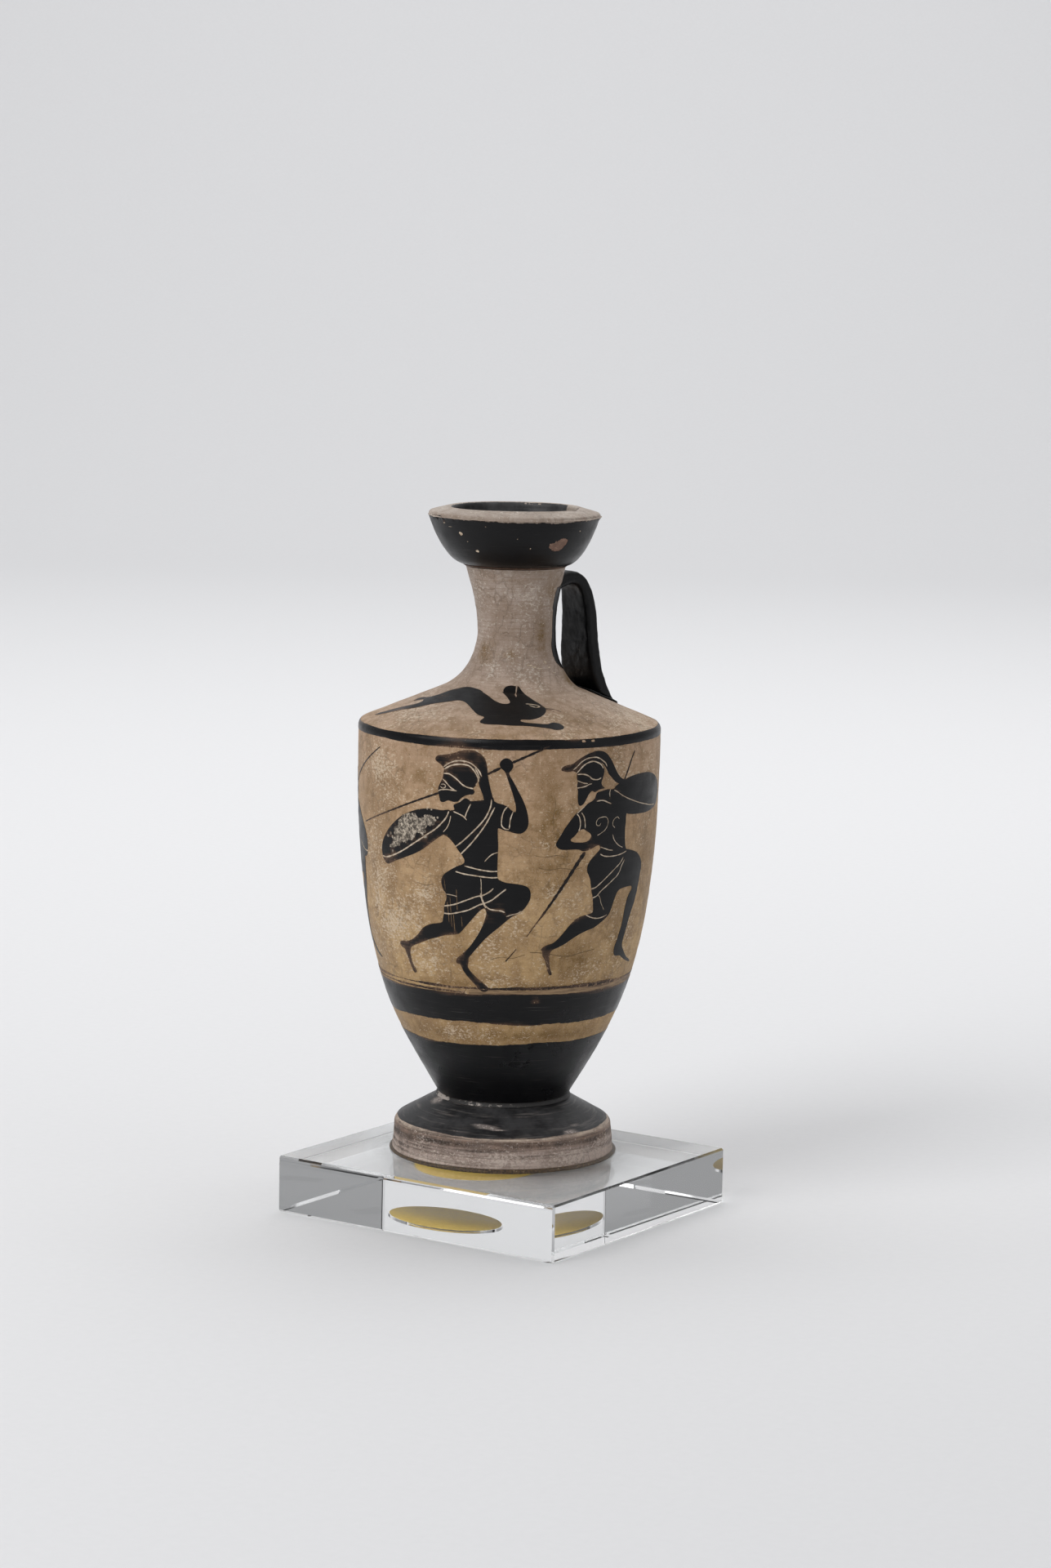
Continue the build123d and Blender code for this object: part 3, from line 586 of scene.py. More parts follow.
class Skin:
    """A thrown surface: an outline of radius and height turned round the axis, a little uneven."""

    def __init__(self, outline, seed, uneven, drift=None, centre=(0.0, 0.0)):
        self.starts = np.cumsum([0, *map(len, outline)])
        self.outline = np.vstack(outline)
        steps = np.linalg.norm(np.diff(self.outline, axis=0), axis=1)
        self.run = np.concatenate([[0], np.cumsum(steps)])
        slope = unit(np.gradient(self.outline, self.run, axis=0))
        self.normal = np.column_stack([slope[:, 1], -slope[:, 0]])
        draw = random.Random(seed)
        self.waves = [
            (uneven * draw.uniform(0.2, 0.5), draw.choice((1, 2, 3, 5)), draw.uniform(0.05, 0.4),
             draw.uniform(0, 6.3))
            for _ in range(5)
        ]
        self.waves += [(uneven * 0.12, 1, draw.uniform(1.2, 3.4), draw.uniform(0, 6.3)) for _ in range(3)]
        self.drift = drift
        self.centre = centre
        self.dents = []

    def at(self, part, point=0):
        """The run at a point of one part of the outline. Points below 0 count from the part's end."""
        return float(self.run[self.starts[part + (point < 0)] + point])

    def reach(self, values, axis, start, end):
        """The runs, between two of them, where the outline has these radii (0) or heights (1)."""
        part = (self.run >= start - 1e-6) & (self.run <= end + 1e-6)
        key = self.outline[part, axis]
        order = np.argsort(key)
        return np.interp(values, key[order], self.run[part][order])

    def point(self, angle, run, lift=0.0):
        """Points of the surface at angles and runs, lifted off it along its normal."""
        radius, height = (np.interp(run, self.run, self.outline[:, i]) for i in (0, 1))
        out, up = (np.interp(run, self.run, self.normal[:, i]) for i in (0, 1))
        lift = lift - SKIN_INSET
        for size, turns, climb, phase in self.waves:
            lift = lift + size * np.sin(turns * angle + climb * height + phase)
        for turn, spot, wide, tall, depth in self.dents:
            off = angle - FRONT - math.radians(turn)
            off = np.arctan2(np.sin(off), np.cos(off)) * radius / wide
            lift = lift - depth * np.exp(-(off**2) - ((run - spot) / tall) ** 2)
        reach = radius + out * lift * (radius > 1e-6)
        height = height + up * lift
        x, y = self.centre[0] + reach * np.cos(angle), self.centre[1] + reach * np.sin(angle)
        if self.drift:
            sideways = np.interp(height, *self.drift)
            x, y = x - sideways * math.sin(FRONT), y + sideways * math.cos(FRONT)
        return np.stack([x, y, height], axis=-1)

    def turned(self, name, finish, slot, node, around):
        """The whole surface as a piece. An outline from axis to axis is closed by two poles."""
        angles = np.linspace(0, 2 * math.pi, around, endpoint=False)
        poles = self.outline[0, 0] < 1e-6
        runs = self.run[1:-1] if poles else self.run[:-1]
        points = self.point(angles[None, :], runs[:, None]).reshape(-1, 3)
        faces = []
        rings = len(runs)
        beside = [(j, (j + 1) % around) for j in range(around)]
        for i in range(rings - 1 if poles else rings):
            low, high = i * around, (i + 1) % rings * around
            faces += [(low + j, low + k, high + k, high + j) for j, k in beside]
        if poles:
            points = np.vstack([points, self.point(np.zeros(2), self.run[[0, -1]])])
            bottom, top, last = len(points) - 2, len(points) - 1, (rings - 1) * around
            for j, k in beside:
                faces += [(bottom, k, j), (top, last + j, last + k)]
        return piece(name, points, faces, finishes[finish], [node])


def mark(made, label, values):
    """Keeps a value for each point of a piece, for its material."""
    layer = made.data.attributes.new(label, "FLOAT", "POINT")
    layer.data.foreach_set("value", np.asarray(values, np.float32))


def tint(made, label, spots):
    """Marks soft spots: way round at the widest radius, height, half width, half height, strength."""
    flat = np.empty(len(made.data.vertices) * 3, np.float32)
    made.data.vertices.foreach_get("co", flat)
    x, y, z = flat.reshape(-1, 3).T / MM
    turn = np.arctan2(y, x) - FRONT
    across = np.arctan2(np.sin(turn), np.cos(turn)) * BODY_RADIUS
    value = np.zeros(len(x))
    for way, height, wide, tall, strength in spots:
        off = np.abs(across - way)
        off = np.minimum(off, 2 * HALF_TURN - off)
        value = np.maximum(value, strength * np.exp(-((off / wide) ** 2) - ((z - height) / tall) ** 2))
    mark(made, label, value)


def coat(name, surface, solid, holes, finish, lift=GLOSS_LIFT, spacing=0.7,
         within=None, worn=()):
    """A thin layer of paint, cut out flat and laid on a thrown surface."""
    skin, place = surface
    flat, triangles = close_round(*cut_out(solid, holes, spacing, within))
    angle, run = place(flat)
    lifts = lift(flat) if callable(lift) else lift
    points = np.vstack([skin.point(angle, run, lifts), skin.point(angle, run, COAT_SINK)])
    count = len(flat)
    sides = set()
    for a, b, c in triangles.tolist():
        for edge in ((a, b), (b, c), (c, a)):
            if edge[::-1] in sides:
                sides.remove(edge[::-1])
            else:
                sides.add(edge)
    faces = triangles.tolist() + (triangles[:, ::-1] + count).tolist()
    faces += [(b, a, a + count, b + count) for a, b in sorted(sides)]
    made = piece(name, points, faces, finishes[finish])
    outer = near_tree(flat[sorted({i for edge in sides for i in edge})])
    rim = np.array([max(0.0, 1 - outer.find((x, y, 0))[2] / RIM_WIDTH) for x, y in flat])
    mark(made, "rim", np.tile(rim, 2))
    tint(made, "thin", worn)


class Finish:
    """A node material. Each call adds a node and gives back its output."""

    def __init__(self, name):
        self.material = bpy.data.materials.new(name)
        self.material.use_nodes = True
        self.tree = self.material.node_tree
        self.shader = self.tree.nodes["Principled BSDF"]
        place = self.tree.nodes.new("ShaderNodeTexCoord").outputs["Object"]
        self.mm = self.add("Mapping", {"Vector": place, "Scale": (1000, 1000, 1000)})
        self.height = self.add("SeparateXYZ", {"Vector": self.mm}, "Z")

    def add(self, kind, values, out=0, **settings):
        node = self.tree.nodes.new("ShaderNode" + kind)
        for key, value in settings.items():
            setattr(node, key, value)
        for key, value in values.items():
            self.put(node.inputs[key], value)
        return node.outputs[out]

    def put(self, socket, value):
        if isinstance(value, bpy.types.NodeSocket):
            self.tree.links.new(value, socket)
        elif isinstance(value, tuple) and len(value) == 3 and socket.type == "RGBA":
            socket.default_value = (*value, 1)
        else:
            socket.default_value = value

    def set(self, **values):
        for key, value in values.items():
            self.put(self.shader.inputs[key.replace("_", " ")], value)

    def noise(self, scale, detail=5, rough=0.55, stretch=EVEN, seed=0.0, twist=0.0):
        size = tuple(scale * s for s in stretch)
        place = self.add("Mapping", {"Vector": self.mm, "Scale": size, "Location": (seed, seed * 1.7, -seed)})
        values = {"Vector": place, "Scale": 1.0, "Detail": detail, "Roughness": rough, "Distortion": twist}
        return self.add("TexNoise", values)

    def cracks(self, scale, stretch, seed):
        size = tuple(scale * s for s in stretch)
        wander = self.add("TexNoise", {"Vector": self.mm, "Scale": 0.8, "Detail": 3}, "Color")
        bent = self.add("VectorMath", {0: self.mm, 1: wander}, operation="ADD")
        place = self.add("Mapping", {"Vector": bent, "Scale": size, "Location": (seed, seed, seed)})
        return self.add("TexVoronoi", {"Vector": place, "Scale": 1.0}, feature="DISTANCE_TO_EDGE")

    def step(self, value, start, end, low=0.0, high=1.0):
        values = {"Value": value, 1: start, 2: end, 3: low, 4: high}
        return self.add("MapRange", values, interpolation_type="SMOOTHSTEP")

    def ramp(self, value, stops):
        first, last = stops[0][0], stops[-1][0]
        node = self.tree.nodes.new("ShaderNodeValToRGB")
        self.put(node.inputs[0], self.add("MapRange", {"Value": value, 1: first, 2: last}))
        ends = node.color_ramp.elements
        ends[0].color, ends[-1].color = (*stops[0][1], 1), (*stops[-1][1], 1)
        for at, colour in stops[1:-1]:
            ends.new((at - first) / (last - first)).color = (*colour, 1)
        return node.outputs[0]

    def shade(self, tone):
        """A tone as it is, or one for each height from a list of heights and tones."""
        return self.ramp(self.height, tone) if isinstance(tone, list) else tone

    def math(self, operation, a, b, clamp=False):
        return self.add("Math", {0: a, 1: b}, operation=operation, use_clamp=clamp)

    def mix(self, factor, a, b):
        return self.add("Mix", {0: factor, 6: a, 7: b}, 2, data_type="RGBA")

    def attribute(self, name):
        return self.add("Attribute", {}, "Fac", attribute_name=name)

    def bump(self, height, distance, strength):
        node = self.tree.nodes.new("ShaderNodeBump")
        self.put(node.inputs["Height"], height)
        node.inputs["Distance"].default_value = distance * MM
        node.inputs["Strength"].default_value = strength
        normal = self.shader.inputs["Normal"]
        if normal.links:
            self.tree.links.new(normal.links[0].from_socket, node.inputs["Normal"])
        self.tree.links.new(node.outputs["Normal"], normal)

    def let_lamps_through(self, tint):
        """Light from the lamps passes a clear piece, so that what lies under it is lit."""
        nodes = self.tree.nodes
        clear, mixed = nodes.new("ShaderNodeBsdfTransparent"), nodes.new("ShaderNodeMixShader")
        self.put(clear.inputs["Color"], tint)
        self.put(mixed.inputs[0], nodes.new("ShaderNodeLightPath").outputs["Is Shadow Ray"])
        self.put(mixed.inputs[1], self.shader.outputs[0])
        self.put(mixed.inputs[2], clear.outputs[0])
        self.put(nodes["Material Output"].inputs["Surface"], mixed.outputs[0])


def clay(name, tones, stain, groove, soil, pale, rings, seed, smear=(0.32, 0.32, 0.07)):
    """Worn fired clay: a tone for each height, smears, soiling, pale abrasion, specks and fine cracks."""
    f = Finish(name)
    dark = tuple(0.3 * c for c in (stain[0][1] if isinstance(stain, list) else stain))
    tone, stain, groove, pale = (f.shade(t) for t in (tones, stain, groove, pale))
    cloud = f.noise(0.085, 5, 0.62, seed=seed + 3)
    tone = f.mix(f.step(cloud, 0.42, 0.66, 0.0, 0.6), tone, stain)
    smears = f.noise(1.0, 5, 0.65, smear, seed + 7)
    tone = f.mix(f.step(smears, 0.47, 0.68, 0.0, 0.6), tone, stain)
    mottle = f.noise(0.38, 6, 0.7, seed=seed + 9)
    tone = f.mix(f.step(mottle, 0.47, 0.62, 0.0, 0.6), tone, stain)
    dirty = f.math("MULTIPLY", f.attribute("soil"), f.step(mottle, 0.34, 0.6, 0.45, 1.2))
    tone = f.mix(dirty, tone, soil)
    lines = f.noise(1.0, 4, 0.68, (0.06, 0.06, 2.3), seed + 5)
    ringed = f.math("MULTIPLY", f.step(lines, 0.44, 0.66), f.add("MapRange", {"Value": f.height, **rings}))
    tone = f.mix(ringed, tone, groove)
    rubbed = f.step(f.noise(0.12, 3, seed=seed + 29), 0.45, 0.7, 0.0, 0.6)
    worn = f.math("ADD", f.attribute("bleach"), rubbed)
    flecks = f.noise(1.5, 6, 0.74, (1, 1, 1.6), seed + 11)
    scraped = f.math("ADD", flecks, f.math("MULTIPLY", worn, 0.13))
    tone = f.mix(f.step(scraped, 0.58, 0.66, 0.0, 0.8), tone, pale)
    specks = f.noise(2.1, 5, 0.7, seed=seed + 17)
    tone = f.mix(f.step(specks, 0.62, 0.7, 0.0, 0.65), tone, dark)
    crazing = f.cracks(0.42, (1, 1, 0.75), seed)
    patchy = f.step(f.noise(0.14, 3, seed=seed + 23), 0.44, 0.6)
    splits = f.math("MULTIPLY", f.step(crazing, 0.015, 0.06, 1.0, 0.0), patchy)
    tone = f.mix(f.math("MULTIPLY", splits, 0.35), tone, dark)
    grain = f.noise(4.5, 3, 0.6, seed=seed)
    tone = f.mix(f.step(grain, 0.35, 0.8, 0.0, 0.2), tone, pale)
    f.set(Base_Color=tone, Roughness=f.step(cloud, 0.3, 0.75, 0.6, 0.42), Specular_IOR_Level=0.3)
    f.bump(lines, 0.12, 0.6)
    f.bump(scraped, 0.2, 0.8)
    f.bump(grain, 0.06, 0.6)
    f.bump(splits, 0.05, -0.5)
    return f.material


def gloss(name, wear, sheen, rub, seed, under=(0.33, 0.22, 0.14), thin=(0.08, 0.045, 0.028), dust_and_painted_sheen=0.0):
    """Fired black gloss: brown where it is thin, scratched, and worn through to the clay in places, with a
    grey haze where asked that is partly dust and partly painted sheen.
    """
    f = Finish(name)
    edge = f.math("MULTIPLY", f.attribute("rim"), 0.45)
    brush = f.noise(1.0, 5, 0.68, (0.07, 0.07, 1.9), seed + 2)
    cloud = f.noise(0.2, 5, 0.62, seed=seed + 7)
    weak = f.math("ADD", f.math("ADD", f.attribute("thin"), edge), f.step(cloud, 0.5, 0.85, 0.0, 0.3))
    weak = f.math("ADD", weak, f.step(brush, 0.45, 0.8, -0.06, 0.3), clamp=True)
    tone = f.mix(f.step(weak, 0.28, 0.95), (0.0045, 0.0045, 0.0052), thin)
    # Grey haze in the base colour: partly dust, partly painted sheen that stands for light reflected off the
    # gloss
    if dust_and_painted_sheen:
        tone = f.mix(f.step(cloud, 0.36, 0.66, 0.3 * dust_and_painted_sheen, dust_and_painted_sheen), tone, (0.1, 0.098, 0.1))
    flecks = f.noise(2.1, 7, 0.78, seed=seed + 13)
    bare = f.step(f.math("ADD", flecks, f.math("MULTIPLY", weak, 0.22)), 0.75 - wear, 0.8 - wear)
    tone = f.mix(bare, tone, under)
    scratch = f.noise(1.0, 4, 0.6, (0.12, 0.12, 5.0), seed + 19, twist=0.3)
    scratched = f.step(scratch, 0.66 - 0.22 * rub, 0.78 - 0.14 * rub, 0.0, rub)
    tone = f.mix(scratched, tone, (0.16, 0.145, 0.135))
    rough = f.step(cloud, 0.3, 0.8, sheen, sheen + 0.2)
    rough = f.math("ADD", rough, f.math("MULTIPLY", bare, 0.35), clamp=True)
    f.set(Base_Color=tone, Roughness=rough, Specular_IOR_Level=0.2)
    f.bump(brush, 0.06, 0.5)
    f.bump(flecks, 0.06, 0.5)
    return f.material


def grained(name, grain, fade, tones, rough, bump, relief=None, grit=None, metal=0.0):
    """A plain material of two tones by a grain. Its roughness may range with the grain."""
    f = Finish(name)
    grain = f.noise(*grain)
    tone = f.mix(f.step(grain, *fade) if fade else grain, *tones)
    if grit:
        tone = f.mix(f.step(grain, *grit[:2]), tone, grit[2])
    rough = f.step(grain, 0.3, 0.7, *rough) if isinstance(rough, tuple) else rough
    f.set(Base_Color=tone, Roughness=rough, Metallic=metal)
    f.bump(f.noise(*relief) if relief else grain, *bump)
    return f.material


def slip(name):
    """Luting slip under worn gloss: dark, with pale crumbs where it shows."""
    f = Finish(name)
    crumbs = f.noise(1.1, 6, 0.72, seed=3)
    shown = f.math("ADD", crumbs, f.math("MULTIPLY", f.attribute("bleach"), 0.3))
    tone = f.mix(f.step(shown, 0.6, 0.72), (0.022, 0.02, 0.019), (0.42, 0.37, 0.33))
    f.set(Base_Color=tone, Roughness=0.6)
    f.bump(crumbs, 0.2, 0.7)
    return f.material


def acrylic(name):
    """Clear cast acrylic, polished, with a haze of dust round the foot and fine scratches."""
    f = Finish(name)
    dust = f.noise(0.9, 6, 0.7, seed=2)
    scratch = f.noise(1.0, 3, 0.5, (0.3, 4.0, 1.0), 5, twist=0.6)
    flat = f.add("Mapping", {"Vector": f.mm, "Scale": (1, 1, 0)})
    away = f.add("VectorMath", {0: flat}, "Value", operation="LENGTH")
    top = f.step(f.height, 11.7, 11.95)
    haze = f.math("MULTIPLY", f.math("MULTIPLY", top, f.step(away, 24.0, 33.0, 1.0, 0.0)), dust)
    rough = f.math("ADD", f.math("MULTIPLY", haze, 0.35), f.step(scratch, 0.62, 0.72, 0.0, 0.06))
    f.set(Base_Color=(0.985, 0.99, 0.99), Transmission_Weight=1.0, IOR=1.49, Roughness=rough)
    f.bump(dust, 0.0015, 0.3)
    f.let_lamps_through((0.62, 0.63, 0.63))
    return f.material


def moved(points, mirror, shift):
    """An outline turned about and shifted round the wall."""
    return [((-x if mirror else x) + shift, y) for x, y in points]


def closed_lines(lines, mirror=False, shift=0.0, share=1.0):
    """The outlines of strokes, turned about and shifted round the wall, at a share of their width."""
    made = []
    for width, points in lines:
        width = tuple(share * w for w in width) if isinstance(width, tuple) else share * width
        made.append(stroke(width, moved(points, mirror, shift)))
    return made


def ragged(points, size, seed):
    """A closed line with a broken, flaked edge."""
    edge = spline(points, True, 0.22)
    along = unit(np.roll(edge, -1, axis=0) - np.roll(edge, 1, axis=0))
    shake = np.array([noise.fractal((x * 1.7, y * 1.7, seed), 0.8, 2.0, 4) for x, y in edge]) * size
    return edge + np.column_stack([along[:, 1], -along[:, 0]]) * shake[:, None]


def oval(x, y, wide, tall, size, seed):
    """A small ragged oval."""
    turns = np.linspace(0, 2 * math.pi, 9)[:-1]
    return ragged([(x + wide * math.cos(a), y + tall * math.sin(a)) for a in turns], size, seed)


def ovals(skin, end, rows, radius, rough):
    """Small ragged ovals: angle from the front, height, half width, half height and a seed."""
    return [
        oval(math.radians(angle) * BODY_RADIUS, float(skin.reach(height, 1, 0, end)),
             wide * BODY_RADIUS / radius, tall, rough * tall, seed)
        for angle, height, wide, tall, seed in rows
    ]


def edge_line(height, sway, nick, seed, start=-HALF_TURN, end=HALF_TURN):
    """A brushed edge: height over the way round, closing on itself where it goes all round."""
    across = np.linspace(start, end, round((end - start) / EDGE_STEP) + 1)
    angle = across / BODY_RADIUS
    edge = np.full(len(across), float(height))
    draw = random.Random(seed)
    for turns, share in ((1, 0.5), (2, 0.5), (3, 0.4), (5, 0.35), (9, 0.3)):
        edge += sway * share * np.sin(turns * angle + draw.uniform(0, 6.3))
    for rough, share in ((7, 0.6), (30, 0.4)):
        spots = [(rough * math.cos(a), rough * math.sin(a), seed * 3.1) for a in angle]
        edge += nick * share * np.array([noise.fractal(spot, 0.7, 2.0, 3) for spot in spots])
    return np.column_stack([across, edge])


def band(low, high, *span):
    """The closed outline between two brushed edges: height, sway, nicks and seed of each."""
    low, high = (edge_line(*edge, *span) for edge in (low, high))
    ends = []
    for start, end in ((low[-1], high[-1]), (high[0], low[0])):
        count = max(2, round(np.linalg.norm(end - start) / EDGE_STEP))
        ends.append(straight(start, end, count)[1:])
    return np.vstack([low, ends[0], high[::-1], ends[1]])


def body_skin():
    """The body's outline, outside and in."""
    base, wall_top = (13.8, 24.4), (31.8, 100.0)
    edge, seat = (31.8, 103.6), (12.0, 111.8)
    hollow_base, hollow_top = (12.7, 28.9), (28.6, 101.5)
    shoulder_arc = rounded(wall_top, edge, seat, 1.6, 11)
    return Skin([
        straight((0, 24.4), base, 5),
        curve(base, aim(base, 30, 18.8), (31.8, 50.1), wall_top, 150),
        shoulder_arc,
        straight(shoulder_arc[-1], seat, 40)[1:],
        straight(seat, (5.5, 111.8), 8),
        straight((5.5, 111.8), (5.5, 108.6), 4),
        straight((5.5, 108.6), hollow_top, 12),
        curve(hollow_base, aim(hollow_base, 30, 13.6), (28.6, 50.1), hollow_top, 36)[::-1],
        [(0, 28.9)],
    ], 3, 0.06)


def neck_skin():
    """The neck's outline, which leans a little to the right of the axis."""
    hem, waist, top = (15.0, 110.5), (8.25, 122.5), (10.5, 136.1)
    return Skin([
        curve(hem, (12.0, 111.75), (8.25, 115.8), waist, 60),
        curve(waist, (8.25, 127.8), aim(top, 194, 5.3), top, 40)[1:],
        straight(top, (5.0, 136.1), 6)[1:],
        straight((5.0, 136.1), (5.0, 111.9), 12),
        [(5.0, 111.9), (11.6, 111.2), hem],
    ], 8, 0.08, ([110.4, 111.5, 114, 122, 131, 137], [0.0, 0.3, 0.75, 1.15, 0.95, 0.6]))


def mouth_skin():
    """The mouth's outline, with dents in its lip."""
    start, lip, crest, throat = (10.5, 136.5), (18.2, 147.45), (12.9, 148.85), (5.5, 138.65)
    outer = curve(start, (13.9, 136.5), aim(lip, 196, 4.6), lip, 60)
    lip_arc = rounded(outer[-4], lip, crest, 0.7, 8)
    cup = curve(crest, (12.9, 143.35), (8.2, 138.65), throat, 40)
    crest_arc = rounded(lip, crest, cup[3], 0.9, 10)
    skin = Skin([
        outer[:-3],
        lip_arc,
        straight(lip_arc[-1], crest_arc[0], 16)[1:],
        crest_arc,
        cup[4:],
        straight(throat, (5.5, 136.5), 4)[1:],
        straight((5.5, 136.5), start, 6),
        [start],
    ], 5, 0.09, ([136, 149], [0.45, 0.33]))
    lip_run, crest_run = skin.at(1, 4), skin.at(3, 6)
    skin.dents = [(64, crest_run, 1.6, 1.2, 0.55), (-66, lip_run - 0.8, 1.2, 0.6, 0.25)]
    draw = random.Random(9)
    for _ in range(26):
        near = lip_run if draw.random() < 0.7 else crest_run
        skin.dents.append((draw.uniform(-180, 180), near + draw.uniform(-0.5, 0.5), draw.uniform(0.3, 0.9),
                           draw.uniform(0.3, 0.6), draw.uniform(0.05, 0.16)))
    return skin


def foot_skin():
    """The foot's outline, with turning grooves and nicks in its side."""
    side_low, side_high, top = (23.5, 12.4), (23.0, 18.8), (13.8, 24.0)
    arc = rounded(side_low, side_high, top, 1.6, 10)
    skin = Skin([
        straight((0, 16.9), (15.0, 16.9), 8),
        straight((15.0, 16.9), (18.0, 12.4), 8),
        straight((18.0, 12.4), side_low, 8),
        straight(side_low, arc[0], 40),
        arc,
        straight(arc[-1], top, 26)[1:],
        straight(top, (0, 24.0), 6),
        [(0, 24.0)],
    ], 12, 0.1)
    side = skin.at(3)
    draw = random.Random(15)
    skin.dents = [
        (draw.uniform(-100, -35), side + up, draw.uniform(9, 20), 0.16, draw.uniform(0.08, 0.18))
        for up in (0.9, 1.7, 2.4, 3.1, 3.7, 4.4)
    ]
    # Number of dents, their heights over the side's foot, half widths, half height and depths
    for count, heights, widths, tall, depths in (
        (14, (0.4, 5.5), (4, 12), 0.18, (0.04, 0.12)), (40, (0.0, 6.5), (0.3, 0.9), 0.35, (0.05, 0.2)),
    ):
        skin.dents += [
            (draw.uniform(-180, 180), side + draw.uniform(*heights), draw.uniform(*widths), tall,
             draw.uniform(*depths))
            for _ in range(count)
        ]
    return skin


def ring(name, node, corners, counts, seed, uneven, finish, slot, around, drift=None):
    """A ring with straight sides, closed on its first corner, with points along each side."""
    sides = [straight(*side) for side in zip(corners, corners[1:], counts)]
    return Skin([*sides, corners[:1]], seed, uneven, drift).turned(name, finish, slot, node, around)


body, neck, mouth, foot = body_skin(), neck_skin(), mouth_skin(), foot_skin()
WALL_START, EDGE_START = body.at(1), body.at(2)
SHOULDER_START, SHOULDER_END = body.at(2, -1), body.at(4)
NECK_WAIST, NECK_TOP = neck.at(0, -1), neck.at(1, -1)
MOUTH_SIDE_END = mouth.at(1, 3)
CUP_GLOSS_START, CUP_GLOSS_END = mouth.at(3, 3) + 0.35, mouth.at(4, -2)
FOOT_SIDE_START, FOOT_TOP_END = foot.at(3), foot.at(5, -1)


def on_wall(points):
    """Angles and runs of points on the unrolled wall."""
    return FRONT + points[:, 0] / BODY_RADIUS, body.reach(points[:, 1], 1, WALL_START, EDGE_START)


def on_edge(points):
    """Angles and runs of points whose height counts from where the wall turns into the shoulder."""
    return FRONT + points[:, 0] / BODY_RADIUS, EDGE_START + points[:, 1]


def on_shoulder(points):
    """Angles and runs on the shoulder of points seen from above."""
    angle = FRONT + np.arctan2(points[:, 0], points[:, 1])
    return angle, body.reach(np.hypot(*points.T), 0, SHOULDER_START, SHOULDER_END)


def on_flare(points):
    """Angles and runs on the neck's flare of points seen from above."""
    angle = FRONT + np.arctan2(points[:, 0], points[:, 1])
    return angle, neck.reach(np.hypot(*points.T), 0, 0, NECK_WAIST)


def on_run(points):
    """Angles and runs of points whose height is the run along another piece's outline."""
    return FRONT + points[:, 0] / BODY_RADIUS, points[:, 1]


WALL, EDGE, SHOULDER = (body, on_wall), (body, on_edge), (body, on_shoulder)
FLARE, NECK, MOUTH, FOOT = (neck, on_flare), (neck, on_run), (mouth, on_run), (foot, on_run)


def thrown_pieces():
    """The clay surfaces of foot, body, neck and mouth."""
    wall = body.turned("body_wall", "vessel", "clay", "body", 264)
    tube = neck.turned("neck_tube", "vessel", "clay", "neck", 160)
    mouth.turned("mouth_cup", "rim", "black_gloss", "mouth", 256)
    base = foot.turned("foot_disc", "foot", "clay", "foot", 256)
    for made, soil, pale in (
        (wall, SOIL_SPOTS, BLEACH_SPOTS), (tube, SOIL_SPOTS, BLEACH_SPOTS), (base, FOOT_SOIL, FOOT_PALE),
    ):
        tint(made, "soil", soil)
        tint(made, "bleach", pale)


def slip_rings():
    """The luting slip that shows between the thrown pieces."""
    foot_corners = pairs(12, 23.9, 14.5, 23.85, 14.25, 24.5, 13.95, 24.8, 12, 24.6)
    neck_corners = pairs(6, 111.6, 11.5, 111.5, 11.2, 112, 6, 112)
    mouth_corners = pairs(6, 136.1, 10.5, 136.05, 10.95, 136.4, 10.7, 136.75, 6, 136.5)
    foot_ring = ring("foot_slip_ring", "foot_slip", foot_corners, (5, 4, 3, 4), 4, 0.25, "slip", "slip", 160)
    tint(foot_ring, "bleach", FOOT_RING_PALE)
    ring("neck_slip_ring", "neck_slip", neck_corners, (6, 3, 4), 6, 0.1, "vessel", "slip", 120)
    ring("mouth_slip_ring", "mouth_slip", mouth_corners, (4, 3, 3, 4), 7, 0.1, "brown", "slip", 120,
         neck.drift)


def figure(name, parts, lines, bare=(), mirror=False, shift=0.0, holes=(), worn=()):
    """A black-figure hoplite: gloss cut by needle lines, and the bared lines themselves."""
    solid, gaps = ([spline(moved(part, mirror, shift), True) for part in group] for group in (parts, bare))
    cuts = closed_lines(lines, mirror, shift, NEEDLE_SHARE)
    coat(name + "_gloss", WALL, solid, [*cuts, *gaps, *holes], "figures", worn=worn)
    coat(name + "_needle_lines", WALL, cuts, gaps, "needle", NEEDLE_LIFT, 0.5, solid)


def crust_lift(flat):
    """The uneven lift of the crust."""
    return 0.03 + 0.06 * np.array([noise.noise((x * 1.6, y * 1.6, 3)) + 0.6 for x, y in flat])


